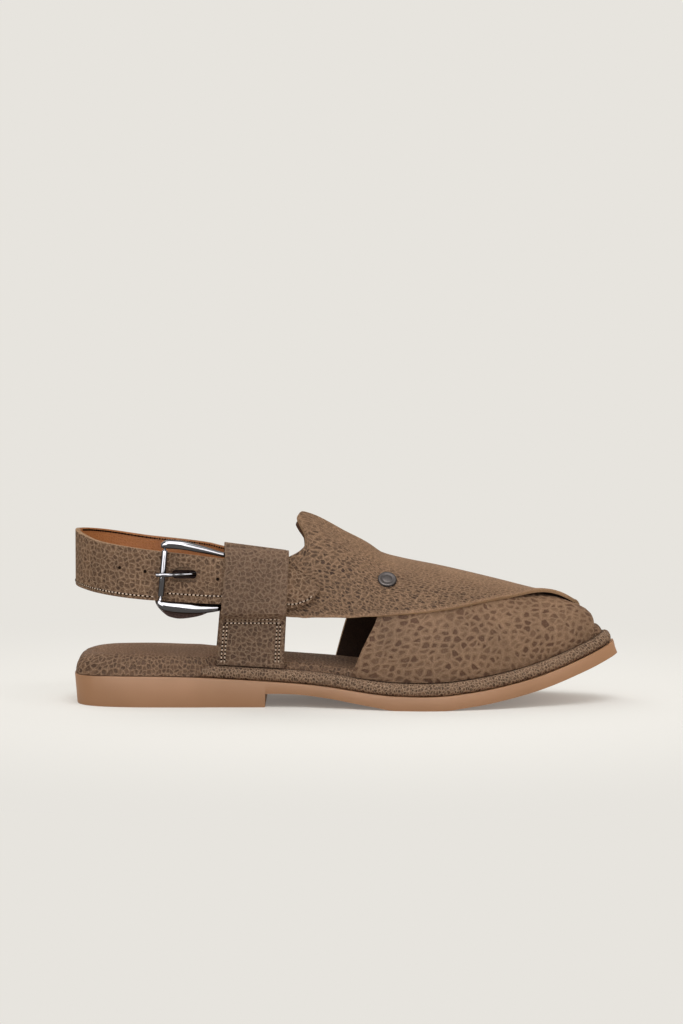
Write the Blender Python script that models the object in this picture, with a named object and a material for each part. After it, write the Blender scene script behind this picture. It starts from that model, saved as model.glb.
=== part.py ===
"""A right peshawari chappal: sole, platform, padded insole, crossed straps and buckled heel strap.

The toe points along +X, the outer (lateral) side faces -Y and the shoe stands on z = 0.
All sizes below are in millimetres. MM turns them into Blender's metres.
"""

import math

import bmesh
import bpy
import numpy as np
from mathutils import Vector

MM = 0.001
LATERAL = -1
MEDIAL = 1
SEAT_GAP = 0.4
STRAP_SEAT = 0.8

# The outsole's upper edge line, its outline in plan and its depth, from the heel to the toe.
SOLE = {
    "columns": ("x", "lateral", "medial", "edge", "depth"),
    "rows": (
        (-144.6, 9.0, 9.0, 15.7, 15.7),
        (-143.8, 15.0, 15.0, 15.7, 15.7),
        (-142.0, 20.0, 20.0, 15.8, 15.8),
        (-138.5, 25.0, 25.0, 15.9, 15.9),
        (-133.0, 29.0, 28.6, 16.1, 16.1),
        (-124.0, 32.0, 31.2, 16.3, 16.3),
        (-108.0, 33.6, 32.8, 16.3, 16.3),
        (-85.0, 33.8, 32.6, 15.9, 15.9),
        (-62.0, 33.2, 31.0, 14.7, 14.7),
        (-42.0, 33.2, 29.4, 13.5, 6.4),
        (-25.0, 34.2, 29.0, 12.4, 5.6),
        (-9.0, 37.8, 30.6, 11.0, 5.9),
        (2.0, 41.4, 33.6, 9.6, 6.2),
        (13.0, 45.0, 38.0, 8.3, 6.6),
        (25.0, 48.2, 42.6, 7.4, 7.4),
        (40.0, 50.0, 46.6, 7.2, 7.2),
        (52.0, 49.2, 47.6, 7.6, 7.5),
        (62.0, 46.8, 47.2, 8.6, 7.3),
        (72.0, 44.0, 45.8, 9.9, 7.2),
        (82.0, 40.4, 43.4, 11.6, 7.0),
        (92.0, 36.4, 39.8, 13.7, 6.9),
        (103.0, 31.6, 35.0, 16.6, 6.8),
        (113.0, 27.4, 30.8, 20.0, 6.7),
        (121.0, 23.6, 26.8, 23.0, 6.6),
        (128.0, 19.6, 22.6, 25.8, 6.6),
        (134.0, 15.2, 18.0, 28.4, 6.5),
        (138.0, 11.2, 14.2, 30.2, 6.5),
        (140.8, 6.6, 10.2, 31.5, 6.4),
        (142.0, 2.2, 6.4, 32.0, 6.4),
    ),
}
SOLE_BACK = SOLE["rows"][0][0]
SOLE_TIP = SOLE["rows"][-1][0]
OUTLINE_STEP = 0.3
BREAST_X = -43.0
BREAST_FACE = 0.3
BREAST_SLANT = 0.5
BREAST_REACH = 6.0
LEAN_FROM = 55.0
LEAN_FULL = 85.0
HEEL_TAPER = 1.3
HEEL_TAPER_X = (-140.0, -100.0)
OUTSOLE_STATIONS = (
    -144.6, -143.8, -142.0, -138.5, -133.0, -124.0, -108.0, -85.0, -62.0, BREAST_X,
    BREAST_X + BREAST_FACE, -30.0, -17.0, -5.0, 6.0, 16.0, 25.0, 38.0, 52.0, 62.0, 72.0,
    82.0, 92.0, 103.0, 113.0, 121.0, 128.0, 134.0, 138.0, 140.8, 142.0,
)

# The wrapped platform and the pad on it: heights above the outsole's edge line.
DECK = {
    "columns": ("x", "platform", "pad_inset", "pad_top", "pad_round"),
    "rows": (
        (-144.6, 0.0, 0.6, 11.6, 11.0),
        (-124.0, 0.0, 0.6, 12.2, 9.5),
        (-100.0, 0.0, 0.6, 12.0, 7.0),
        (-92.0, 0.8, 0.8, 11.8, 6.0),
        (-86.0, 2.2, 1.2, 11.7, 5.5),
        (-79.0, 4.7, 3.2, 11.7, 4.6),
        (-72.0, 6.1, 5.6, 11.8, 4.2),
        (-60.0, 6.6, 6.0, 11.7, 4.0),
        (-30.0, 6.6, 6.2, 11.2, 4.0),
        (0.0, 6.6, 7.0, 11.4, 4.0),
        (40.0, 6.6, 7.2, 11.4, 4.0),
        (100.0, 6.6, 7.2, 11.6, 4.2),
        (128.0, 6.6, 7.0, 12.4, 4.4),
        (134.0, 6.6, 6.8, 12.2, 4.5),
        (138.0, 6.6, 4.6, 13.4, 5.2),
        (142.0, 6.6, 3.2, 13.0, 5.6),
    ),
}
PLATFORM_SEAT = 0.3
PLATFORM_STATIONS = (-92.0, -86.0, -79.0, -72.0, -60.0, -45.0, -30.0) + tuple(
    x for x in OUTSOLE_STATIONS if x > -20
)
BEAD_LEVELS = (0, 0.15, 0.5, 0.85, 1)
BEAD_INSET = 0.5
BEAD_ROUND = 2.34
INSOLE_STATIONS = (
    tuple(x for x in OUTSOLE_STATIONS if x < -97)
    + (-97.0, -91.0, -85.0, -79.0, -72.0, -52.0, -35.0)
    + tuple(x for x in OUTSOLE_STATIONS if x > -20)
)
PAD_LEVELS = (0, 0.25, 0.5, 0.75, 1)
PAD_CROWN = 1.6
PAD_SUPERELLIPSE = 2.3

# The last: how far its foot line lies inside the outline, and each section's ridge and fullness.
LAST = {
    "columns": ("x", "inset", "ridge", "ridge_y", "bulge", "power"),
    "rows": (
        (-75.0, 4.9, 117.0, 0.0, 3.6, 3.0),
        (-50.0, 4.9, 112.0, 0.0, 3.5, 2.9),
        (-31.0, 5.2, 106.0, 0.0, 3.4, 2.4),
        (-20.0, 5.8, 100.5, 0.0, 3.2, 2.1),
        (-10.0, 6.2, 94.4, 0.0, 3.0, 2.05),
        (0.0, 6.4, 88.0, 0.2, 2.8, 2.05),
        (9.0, 6.4, 81.8, 0.6, 2.5, 2.1),
        (18.0, 6.4, 75.2, 1.0, 2.2, 2.1),
        (28.0, 6.4, 72.4, 1.5, 2.0, 2.15),
        (50.0, 6.4, 67.8, 2.4, 1.8, 2.2),
        (79.0, 6.4, 60.9, 2.8, 1.6, 2.2),
        (99.0, 6.4, 55.9, 2.8, 1.3, 2.2),
        (110.0, 6.4, 53.6, 2.6, 1.0, 2.2),
        (118.0, 6.4, 50.9, 2.4, 0.8, 2.2),
        (124.0, 6.4, 48.4, 2.2, 0.6, 2.2),
        (127.0, 6.4, 46.6, 2.1, 0.5, 2.2),
        (129.5, 6.4, 43.6, 2.0, 0.4, 2.2),
        (131.0, 6.4, 40.6, 2.0, 0.4, 2.2),
    ),
}

# Each strap rises from the foot line of one side (girth 1) to the ridge (girth 0).
UNDER_RISE = {
    "columns": ("girth", "front", "rear"),
    "rows": (
        (1.0, 129.4, 2.6),
        (0.93, 129.6, 5.6),
        (0.85, 129.8, 8.9),
        (0.78, 129.9, 11.8),
        (0.7, 129.9, 14.8),
        (0.6, 129.9, 16.8),
        (0.45, 129.8, 17.6),
        (0.22, 129.4, 18.0),
        (0.0, 128.4, 18.2),
    ),
}
OVER_RISE = {
    "columns": ("girth", "front", "rear"),
    "rows": (
        (1.0, 124.5, -6.4),
        (0.85, 124.8, -1.6),
        (0.7, 124.6, 3.0),
        (0.45, 123.6, 9.6),
        (0.22, 122.2, 14.4),
        (0.0, 120.2, 18.2),
    ),
}

# Past the ridge it runs back as a wing: heights of its lower and upper edge on the last.
WING = {
    "columns": ("low_x", "low", "top_x", "top"),
    "rows": (
        (104.0, 54.2, 14.4, 77.4),
        (90.0, 54.6, 7.6, 82.4),
        (76.8, 53.9, -3.4, 88.6),
        (63.0, 52.0, -13.4, 94.4),
        (50.0, 50.3, -21.4, 98.2),
        (35.0, 49.0, -25.8, 99.4),
        (20.0, 48.0, -27.4, 97.2),
        (5.0, 47.5, -25.6, 93.0),
        (-8.0, 47.4, -23.2, 88.6),
        (-18.0, 47.4, -22.8, 84.6),
        (-25.0, 47.5, -25.4, 81.4),
        (-31.0, 48.0, -31.4, 78.2),
        (-40.0, 50.2, -40.0, 76.4),
        (-49.0, 52.0, -49.0, 75.4),
        (-58.6, 53.6, -58.6, 74.8),
    ),
}
MEDIAL_WING_DROP = 5.2
MEDIAL_WING_DROP_X = (-31.0, -9.0)
MEDIAL_WING_SHIFT = 3.0
MEDIAL_WING_SHIFT_X = (-40.0, -28.0, -14.0, -4.0)
STRAP_WALL = 1.8
CROSSING_SINK = 0.9
CROSSING_GIRTH = 0.45
OVER_BASE_OFFSET = 0.1
TOE_LIFT = 2.2
TOE_LIFT_FROM = 86.0
TOE_LIFT_TO = 121.0
TOE_LIFT_SHARE = 0.8
STRAP_ACROSS = 14
STRAP_RISE_ROWS = 9

# A keeper is a hairpin of leather: both legs stand on the platform and the fold is on top.
KEEPER_WALL = 1.3
KEEPER_SEAM_Z = 45.5
KEEPER_OPEN_Z = 50.5
KEEPER_FOLD = 7.1
KEEPER_SUPERELLIPSE = 2.4
KEEPER_LEAN = 0.12
KEEPER_LEG_ROWS = 10
KEEPER_FOLD_ROWS = 8
LATERAL_KEEPER = {
    "side": LATERAL, "rear_foot": -68.6, "rear_top": -64.0, "front_foot": -33.4, "front_top": -30.6,
    "top_rear": 84.6, "top_front": 82.6, "inner": -2.75, "outer": 8.1,
}
MEDIAL_KEEPER = {
    "side": MEDIAL, "rear_foot": -70.6, "rear_top": -66.0, "front_foot": -35.4, "front_top": -32.6,
    "top_rear": 81.6, "top_front": 77.6, "inner": -1.8, "outer": 7.4,
}
KEEPER_FOOT_INNER = 0.35
KEEPER_FOOT_OUTER = 1.95

# The heel strap, from its sewn end in the medial keeper round the heel to its point.
HEEL_STRAP = {
    "columns": ("along", "low", "top"),
    "rows": (
        (0.0, 54.5, 74.2),
        (0.09, 55.9, 79.2),
        (0.12, 56.4, 81.4),
        (0.22, 58.6, 85.0),
        (0.34, 61.0, 89.2),
        (0.42, 62.2, 90.8),
        (0.5, 62.4, 91.6),
        (0.58, 61.6, 90.2),
        (0.66, 59.8, 87.2),
        (0.76, 57.4, 84.2),
        (0.86, 55.4, 80.0),
        (0.93, 54.4, 75.8),
        (0.965, 53.0, 73.2),
        (0.985, 55.2, 69.6),
        (1.0, 61.8, 64.6),
    ),
}
HEEL_WALL = 2.4
HEEL_BACK_X = -143.2
HEEL_BOW_X = -100.0
HEEL_BOW_HALF = 32.4
HEEL_BOW_POWER = 2.3
HEEL_MEDIAL_END_X = -38.0
HEEL_TIP_X = -14.4
HEEL_LATERAL_OFFSET = 5.5
HEEL_MEDIAL_OFFSET = 3.7
HEEL_SPREAD_X = -68.0
HEEL_LAST_END_X = -75.0
HEEL_END_SHARE = 0.2
HEEL_STATIONS = (
    tuple(i / 40 for i in range(9))
    + tuple(0.2 + 0.6 * i / 22 for i in range(1, 23))
    + tuple(0.8 + 0.16 * i / 8 for i in range(1, 9))
    + (0.97, 0.98, 0.99, 1.0)
)

# The roller buckle.
BAR_X = -61.0
BAR_RADIUS = 1.2
BAR_OFFSET = 1.6
BAR_MIDDLE_Z = 66.0
ROLLER_RADIUS = 1.6
ROLLER_SEAT = 0.8
ROLLER_BORE = 1.0
ROLLER_PIN = 0.7
ROLLER_TOP = (-95.6, 84.0)
ROLLER_FOOT = (-97.8, 58.4)
FRAME = {
    "columns": ("x", "z", "radius"),
    "rows": (
        (BAR_X, 66.5, BAR_RADIUS),
        (BAR_X, 78.4, BAR_RADIUS),
        (-63.0, 80.2, 1.2),
        (-67.0, 81.2, 1.3),
        (-77.0, 83.8, 2.0),
        (-88.0, 86.1, 2.4),
        (-93.6, 86.5, 2.4),
        (-96.2, 85.7, 1.6),
        (ROLLER_TOP[0], ROLLER_TOP[1], ROLLER_PIN),
        (ROLLER_FOOT[0], ROLLER_FOOT[1], ROLLER_PIN),
        (-98.4, 56.2, 1.5),
        (-96.4, 54.2, 2.5),
        (-88.0, 52.9, 2.9),
        (-77.0, 52.3, 2.6),
        (-67.0, 52.7, 1.6),
        (-63.0, 53.2, 1.2),
        (BAR_X, 54.8, BAR_RADIUS),
    ),
}
PRONG_Z = 70.6
PRONG_RADIUS = 1.1
PRONG = {
    "columns": ("x", "out"),
    "rows": (
        (-63.7, 32.1),
        (-72.0, 32.8),
        (-78.0, 32.0),
        (-84.0, 34.0),
        (-90.0, 37.0),
        (-94.0, 38.8),
        (-97.4, 39.0),
        (-99.8, 38.1),
    ),
}
PRONG_SLOT = (-92.0, -79.0, 68.2, 73.0)
PRONG_SLOT_REACH = 8.0
ROLLER_END_GAP = 0.8
TAB_WALL = 1.3
TAB_OFFSET = -0.8
TAB_END_HALF = 29.0
TAB = {
    "columns": ("x", "low", "top"),
    "rows": (
        (-101.6, 58.5, 74.0),
        (-100.6, 54.5, 77.0),
        (-98.0, 51.0, 79.0),
        (-93.5, 47.6, 80.0),
        (-88.0, 46.6, 80.0),
        (-79.0, 47.8, 79.0),
        (-70.0, 51.0, 78.0),
        (-60.0, 53.4, 76.5),
        (-46.0, 54.5, 75.0),
    ),
}

TAB_FREE_X = (66.0, 95.0)

# The rivet's place on the outer side of the over strap.
STUD_X = 20.8
STUD_Z = 64.0
STUD_SEAT = 1.35
STUD_RADIUS = 5.0
STUD_HEIGHT = 1.5
STUD_DOME = 0.88


def curve_of(table, key, name):
    """A smooth curve through one column of a table that never swings past its rows."""
    columns = table["columns"]
    points = sorted((row[columns.index(key)], row[columns.index(name)]) for row in table["rows"])
    xs = np.array([point[0] for point in points])
    ys = np.array([point[1] for point in points])
    rises = np.diff(ys) / np.diff(xs)
    slopes = np.zeros(len(xs))
    slopes[0] = rises[0]
    slopes[-1] = rises[-1]
    for i in range(1, len(xs) - 1):
        if rises[i - 1] * rises[i] > 0:
            slopes[i] = 2 * rises[i - 1] * rises[i] / (rises[i - 1] + rises[i])

    def value(x):
        x = min(max(x, xs[0]), xs[-1])
        i = int(min(max(np.searchsorted(xs, x) - 1, 0), len(xs) - 2))
        step = xs[i + 1] - xs[i]
        t = (x - xs[i]) / step
        start = (1 + 2 * t) * (1 - t) ** 2 * ys[i] + t * (1 - t) ** 2 * step * slopes[i]
        end = t * t * (3 - 2 * t) * ys[i + 1] + t * t * (t - 1) * step * slopes[i + 1]
        return float(start + end)

    return value


def ease(value, low, high):
    """0 below low, 1 above high and a soft step between them."""
    t = min(max((value - low) / (high - low), 0.0), 1.0)
    return t * t * (3 - 2 * t)


def spread(low, high, count):
    return [low + (high - low) * i / count for i in range(count + 1)]


outline = {side: curve_of(SOLE, "x", name) for side, name in ((LATERAL, "lateral"), (MEDIAL, "medial"))}
sole_edge = curve_of(SOLE, "x", "edge")
sole_depth = curve_of(SOLE, "x", "depth")
platform_height = curve_of(DECK, "x", "platform")
pad_inset = curve_of(DECK, "x", "pad_inset")
pad_top = curve_of(DECK, "x", "pad_top")
pad_round = curve_of(DECK, "x", "pad_round")
last_inset = curve_of(LAST, "x", "inset")
last_ridge = curve_of(LAST, "x", "ridge")
last_ridge_y = curve_of(LAST, "x", "ridge_y")
last_bulge = curve_of(LAST, "x", "bulge")
last_power = curve_of(LAST, "x", "power")


def sole_tilt(x):
    """The slope of the toe spring, as an angle."""
    rise = (sole_edge(x + 0.5) - sole_edge(x - 0.5)) * ease(x, LEAN_FROM, LEAN_FULL)
    return math.atan(rise)


def over_sole(x, y, height):
    """A point at a height square to the outsole's edge line."""
    tilt = sole_tilt(x)
    return (x - height * math.sin(tilt), y, sole_edge(x) + height * math.cos(tilt))


def edge_point(x, side, inset):
    """The outline's point at x, moved inwards square to the outline."""
    low = max(x - OUTLINE_STEP, SOLE_BACK)
    high = min(x + OUTLINE_STEP, SOLE_TIP)
    slope = (outline[side](high) - outline[side](low)) / (high - low)
    length = math.hypot(1.0, slope)
    return (x + inset * slope / length, side * (outline[side](x) - inset / length))


def across(x, part, inset):
    """The plan point at part 0 (lateral edge) to 1 (medial edge) of one station."""
    near = edge_point(x, LATERAL, inset)
    far = edge_point(x, MEDIAL, inset)
    return (near[0] + (far[0] - near[0]) * part, near[1] + (far[1] - near[1]) * part)


def foot_station(x):
    """The outsole station whose platform top lies at x, because the toe's layers lean back."""
    station = x
    for _ in range(4):
        station = x + (platform_height(station) + STRAP_SEAT) * math.sin(sole_tilt(station))
    return station


def last_point(x, girth, side):
    """A point on the last: girth 0 is the ridge and 1 the foot line of that side."""
    station = foot_station(x)
    half = outline[side](station) - last_inset(x) - side * last_ridge_y(x)
    base = over_sole(station, 0, platform_height(station) + STRAP_SEAT)[2]
    angle = math.radians(90 * min(max(girth, 0.0), 1.0))
    power = 2 / last_power(x)
    rise = math.cos(angle) ** power if girth < 1 else 0.0
    y = half * math.sin(angle) ** power + last_bulge(x) * math.sin(math.pi * rise)
    return Vector((x, last_ridge_y(x) + side * y, base + (last_ridge(x) - base) * rise))


def on_last(x, girth, side, offset):
    """The last's point moved outwards square to its surface."""
    step = 0.004
    along = last_point(x + 0.4, girth, side) - last_point(x - 0.4, girth, side)
    low = min(girth + step, 1.0)
    high = girth - step
    if high < 0:
        up = last_point(x, -high, -side) - last_point(x, low, side)
    else:
        up = last_point(x, high, side) - last_point(x, low, side)
    normal = along.cross(up).normalized()
    if normal.y * side < 0 and girth > 0.2:
        normal.negate()
    if girth <= 0.2 and normal.z < 0:
        normal.negate()
    return last_point(x, girth, side) + offset * normal


def girth_at(x, z, side):
    """The girth at which the last has the height z."""
    base = last_point(x, 1.0, side).z
    rise = min(max((z - base) / (last_ridge(x) - base), 0.0), 1.0)
    return math.degrees(math.acos(rise ** (last_power(x) / 2))) / 90


def beside_last(x, z, side, offset):
    """The plan distance from the centre line to a layer that lies outside the last's wall."""
    return abs(last_point(x, girth_at(x, z, side), side).y) + offset


def new_material(name, colour, roughness, metallic=0.0):
    material = bpy.data.materials.new(name)
    material.use_nodes = True
    shader = material.node_tree.nodes["Principled BSDF"]
    shader.inputs["Base Color"].default_value = (*colour, 1.0)
    shader.inputs["Roughness"].default_value = roughness
    shader.inputs["Metallic"].default_value = metallic
    material.diffuse_color = (*colour, 1.0)
    return material


def new_object(name, bm, material, collection, sharp=40.0):
    """Turns a bmesh in millimetres into a named object in metres."""
    bmesh.ops.scale(bm, vec=(MM, MM, MM), verts=bm.verts)
    bmesh.ops.recalc_face_normals(bm, faces=bm.faces)
    mesh = bpy.data.meshes.new(name)
    bm.to_mesh(mesh)
    bm.free()
    mesh.shade_smooth()
    mesh.set_sharp_from_angle(angle=math.radians(sharp))
    mesh.materials.append(material)
    obj = bpy.data.objects.new(name, mesh)
    collection.objects.link(obj)
    return obj


def slab(us, vs, ws, place):
    """A closed slab: a grid over us and vs, extruded through ws, with each corner put in its place."""
    bm = bmesh.new()
    bmesh.ops.create_grid(bm, x_segments=len(us) - 1, y_segments=len(vs) - 1, size=1.0)
    faces = list(bm.faces)
    for layer in range(1, len(ws)):
        made = bmesh.ops.extrude_face_region(bm, geom=faces)["geom"]
        if layer > 1:
            bmesh.ops.delete(bm, geom=faces, context="FACES_ONLY")
        faces = [item for item in made if isinstance(item, bmesh.types.BMFace)]
        for item in made:
            if isinstance(item, bmesh.types.BMVert):
                item.co.z = layer
    for vert in bm.verts:
        u = us[round((vert.co.x + 1) / 2 * (len(us) - 1))]
        v = vs[round((vert.co.y + 1) / 2 * (len(vs) - 1))]
        w = ws[round(vert.co.z)]
        vert.co = place(u, v, w)
    return bm


def outsole_bmesh():
    """The unit sole: flat heel, breast step, arched shank, flat ball and sprung toe."""

    def place(x, part, level):
        depth = sole_edge(x) if x <= BREAST_X else sole_depth(x)
        taper = HEEL_TAPER * (1 - level) * (1 - ease(x, *HEEL_TAPER_X))
        px, py = across(x, part, taper)
        if abs(x - BREAST_X) < BREAST_REACH:
            px += BREAST_SLANT * (part - 0.5)
        return over_sole(px, py, -depth * (1 - level))

    return slab(OUTSOLE_STATIONS, spread(0, 1, 4), (0, 1), place)


def platform_bmesh():
    """The wrapped midsole, with a half-round bead for its edge."""

    def place(x, part, level):
        inset = BEAD_INSET + BEAD_ROUND * (1 - math.cos(math.asin(abs(2 * level - 1))))
        px, py = across(x, part, inset)
        return over_sole(px, py, PLATFORM_SEAT + (platform_height(x) - PLATFORM_SEAT) * level)

    return slab(PLATFORM_STATIONS, spread(0, 1, 4), BEAD_LEVELS, place)


def insole_bmesh():
    """The pad: a deep cushion at the heel that thins onto the platform."""

    def place(x, part, level):
        angle = math.radians(90 * level)
        turn = 2 / PAD_SUPERELLIPSE
        inset = pad_inset(x) + pad_round(x) * (1 - math.cos(angle) ** turn if level < 1 else 1.0)
        px, py = across(x, part, inset)
        low = platform_height(x) + SEAT_GAP
        height = low + (pad_top(x) - low) * math.sin(angle) ** turn
        crown = PAD_CROWN * (1 - (2 * part - 1) ** 2) * ease(level, 0.9, 1.0)
        return over_sole(px, py, height - PAD_CROWN * 0.5 * ease(level, 0.5, 1.0) + crown)

    return slab(INSOLE_STATIONS, spread(0, 1, 6), PAD_LEVELS, place)


def strap_bmesh(rise, side, lift, sink_to):
    """One strap: up from its own side to the ridge, then back as a wing on the other side."""
    front = curve_of(rise, "girth", "front")
    rear = curve_of(rise, "girth", "rear")
    rows = []
    for girth in spread(1.0, 0.0, STRAP_RISE_ROWS):
        rows.append((side, girth, front(girth), girth, rear(girth)))
    columns = {name: WING["columns"].index(name) for name in WING["columns"]}
    for row in WING["rows"]:
        low_x, low = row[columns["low_x"]], row[columns["low"]]
        top_x, top = row[columns["top_x"]], row[columns["top"]]
        if side == LATERAL:
            top -= MEDIAL_WING_DROP * (1 - ease(top_x, *MEDIAL_WING_DROP_X))
            rear_shift = ease(top_x, *MEDIAL_WING_SHIFT_X[:2]) * (1 - ease(top_x, *MEDIAL_WING_SHIFT_X[2:]))
            top_x += MEDIAL_WING_SHIFT * rear_shift
        rows.append((-side, girth_at(low_x, low, -side), low_x, girth_at(top_x, top, -side), top_x))

    def place(index, part, level):
        turn, low_girth, low_x, top_girth, top_x = rows[index]
        x = low_x + (top_x - low_x) * part
        girth = low_girth + (top_girth - low_girth) * part
        bottom = lift
        if turn == side:
            bottom = sink_to + (lift - sink_to) * (1 - ease(girth, CROSSING_GIRTH, 1.0))
        elif lift > 0:
            along = (x - TOE_LIFT_FROM) / (TOE_LIFT_TO - TOE_LIFT_FROM)
            near_toe = math.sin(math.pi * min(max(along, 0), 1))
            bottom += TOE_LIFT * near_toe * ease(1 - part, TOE_LIFT_SHARE, 1.0)
        return on_last(x, girth, turn, bottom + STRAP_WALL * level)

    return slab(list(range(len(rows))), spread(0, 1, STRAP_ACROSS), (0, 1), place)


def keeper_bmesh(keeper):
    """A loop of leather, folded over at the top, with its two legs sewn together below the slot."""
    side = keeper["side"]
    path = []
    for share in spread(0, 1, KEEPER_LEG_ROWS):
        path.append(("inner", share))
    for share in spread(0, 1, KEEPER_FOLD_ROWS)[1:-1]:
        path.append(("fold", share))
    for share in spread(1, 0, KEEPER_LEG_ROWS):
        path.append(("outer", share))

    def leg_offset(name, z):
        foot = KEEPER_FOOT_INNER if name == "inner" else KEEPER_FOOT_OUTER
        return foot + (keeper[name] - foot) * ease(z, KEEPER_SEAM_Z, KEEPER_OPEN_Z)

    def place(index, part, level):
        name, share = path[index]
        x_foot = keeper["rear_foot"] + (keeper["front_foot"] - keeper["rear_foot"]) * part
        x_top = keeper["rear_top"] + (keeper["front_top"] - keeper["rear_top"]) * part
        top = keeper["top_rear"] + (keeper["top_front"] - keeper["top_rear"]) * part
        fold_z = top - KEEPER_FOLD
        wall = KEEPER_WALL * (level - 0.5)
        if name == "fold":
            angle = math.pi * share
            middle = (keeper["inner"] + keeper["outer"]) / 2
            reach = (keeper["outer"] - keeper["inner"]) / 2
            bend = 2 / KEEPER_SUPERELLIPSE
            out_part = -math.cos(angle)
            up_part = math.sin(angle)
            offset = middle + math.copysign(abs(out_part) ** bend, out_part) * (reach + wall)
            z = fold_z + (KEEPER_FOLD - KEEPER_WALL / 2 + wall) * abs(up_part) ** bend
            y = beside_last(x_top, fold_z, side, offset)
            lean = (z - fold_z) * KEEPER_LEAN
            return (x_top, side * (y - lean), z)
        foot = last_point(x_foot, 1.0, side).z
        z = foot + (fold_z - foot) * share
        x = x_foot + (x_top - x_foot) * share
        offset = leg_offset(name, z) + (wall if name == "outer" else -wall)
        return (x, side * beside_last(x, z, side, offset), z)

    return slab(list(range(len(path))), spread(0, 1, 4), (0, 1), place)


def heel_path(along, z):
    """The heel strap's middle line in plan, at the height z, from 0 (medial end) to 1 (point)."""
    if along < HEEL_END_SHARE or along > 1 - HEEL_END_SHARE:
        medial = along < HEEL_END_SHARE
        side = MEDIAL if medial else LATERAL
        start = HEEL_MEDIAL_END_X if medial else HEEL_TIP_X
        share = (along if medial else 1 - along) / HEEL_END_SHARE
        x = start + (HEEL_BOW_X - start) * share
        offset = HEEL_MEDIAL_OFFSET if medial else HEEL_LATERAL_OFFSET
        near = beside_last(max(x, HEEL_LAST_END_X), z, side, offset)
        free = ease(-x, -HEEL_SPREAD_X, -HEEL_BOW_X)
        return x, side * (near + (HEEL_BOW_HALF - near) * free)
    angle = math.pi * (along - HEEL_END_SHARE) / (1 - 2 * HEEL_END_SHARE)
    bend = 2 / HEEL_BOW_POWER
    x = HEEL_BOW_X - (HEEL_BOW_X - HEEL_BACK_X) * abs(math.sin(angle)) ** bend
    y = HEEL_BOW_HALF * math.copysign(abs(math.cos(angle)) ** bend, math.cos(angle))
    return x, y


def heel_strap_bmesh():
    """The strap round the heel, as a ribbon that stands upright on its middle line."""
    low = curve_of(HEEL_STRAP, "along", "low")
    top = curve_of(HEEL_STRAP, "along", "top")

    def place(along, part, level):
        z = low(along) + (top(along) - low(along)) * part
        step = 0.002
        before = heel_path(max(along - step, 0), z)
        after = heel_path(min(along + step, 1), z)
        run = Vector((after[0] - before[0], after[1] - before[1], 0)).normalized()
        x, y = heel_path(along, z)
        outwards = Vector((run.y, -run.x, 0))
        if outwards.dot(Vector((x - HEEL_SPREAD_X if x < HEEL_BOW_X else 0, y, 0))) < 0:
            outwards.negate()
        return Vector((x, y, z)) + HEEL_WALL * (level - 0.5) * outwards

    return slab(HEEL_STATIONS, spread(0, 1, 3), (0, 1), place)


def tab_bmesh():
    """The tongue behind the buckle, between the keeper's inner leg and the buckle's bar."""
    low = curve_of(TAB, "x", "low")
    top = curve_of(TAB, "x", "top")

    def place(x, part, level):
        z = low(x) + (top(x) - low(x)) * part
        near = beside_last(max(x, HEEL_LAST_END_X), z, LATERAL, TAB_OFFSET)
        y = near + (TAB_END_HALF - near) * ease(-x, *TAB_FREE_X)
        return (x, -(y + TAB_WALL * (level - 0.5)), z)

    return slab([row[0] for row in TAB["rows"]], spread(0, 1, 4), (0, 1), place)


def tube(name, points, radii, material, collection, closed=False):
    """A round bar through points in millimetres, with a radius at each, as one mesh."""
    data = bpy.data.curves.new(name, "CURVE")
    data.dimensions = "3D"
    data.bevel_depth = MM
    data.bevel_resolution = 2
    data.use_fill_caps = not closed
    spline = data.splines.new("POLY")
    spline.points.add(len(points) - 1)
    spline.use_cyclic_u = closed
    for point, place, radius in zip(spline.points, points, radii):
        point.co = (*(Vector(place) * MM), 1.0)
        point.radius = radius
    guide = bpy.data.objects.new(name + "_guide", data)
    collection.objects.link(guide)
    bpy.context.view_layer.update()
    mesh = bpy.data.meshes.new_from_object(guide.evaluated_get(bpy.context.evaluated_depsgraph_get()))
    bpy.data.objects.remove(guide)
    bm = bmesh.new()
    bm.from_mesh(mesh)
    bmesh.ops.remove_doubles(bm, verts=bm.verts, dist=MM * 0.01)
    bmesh.ops.scale(bm, vec=(1 / MM, 1 / MM, 1 / MM), verts=bm.verts)
    return new_object(name, bm, material, collection)


def frame_y(x):
    """The buckle's plane: inside the heel strap at its bar, outside it at its roller."""
    bar = beside_last(BAR_X, BAR_MIDDLE_Z, LATERAL, BAR_OFFSET)
    roller = HEEL_BOW_HALF + HEEL_WALL / 2 + ROLLER_SEAT + ROLLER_RADIUS
    share = (BAR_X - x) / (BAR_X - ROLLER_FOOT[0])
    return -(bar + (roller - bar) * share)


for old in list(bpy.data.objects):
    bpy.data.objects.remove(old)

shoe = bpy.data.collections.new("peshawari_chappal")
cutters = bpy.data.collections.new("cutters")
bpy.context.scene.collection.children.link(shoe)
bpy.context.scene.collection.children.link(cutters)

rubber = new_material("tan_rubber", (0.36, 0.21, 0.12), 0.6)
wrap = new_material("edge_leather", (0.22, 0.14, 0.09), 0.75)
pad = new_material("insole_leather", (0.19, 0.12, 0.08), 0.75)
leather = new_material("pebbled_leather", (0.21, 0.14, 0.09), 0.7)
loop = new_material("keeper_leather", (0.16, 0.1, 0.07), 0.75)
strap = new_material("lined_strap_leather", (0.18, 0.11, 0.07), 0.75)
tongue = new_material("tab_leather", (0.06, 0.04, 0.03), 0.75)
gunmetal = new_material("gunmetal", (0.12, 0.12, 0.13), 0.25, 1.0)

new_object("outsole", outsole_bmesh(), rubber, shoe)
new_object("platform", platform_bmesh(), wrap, shoe)
new_object("padded_insole", insole_bmesh(), pad, shoe)

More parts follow.
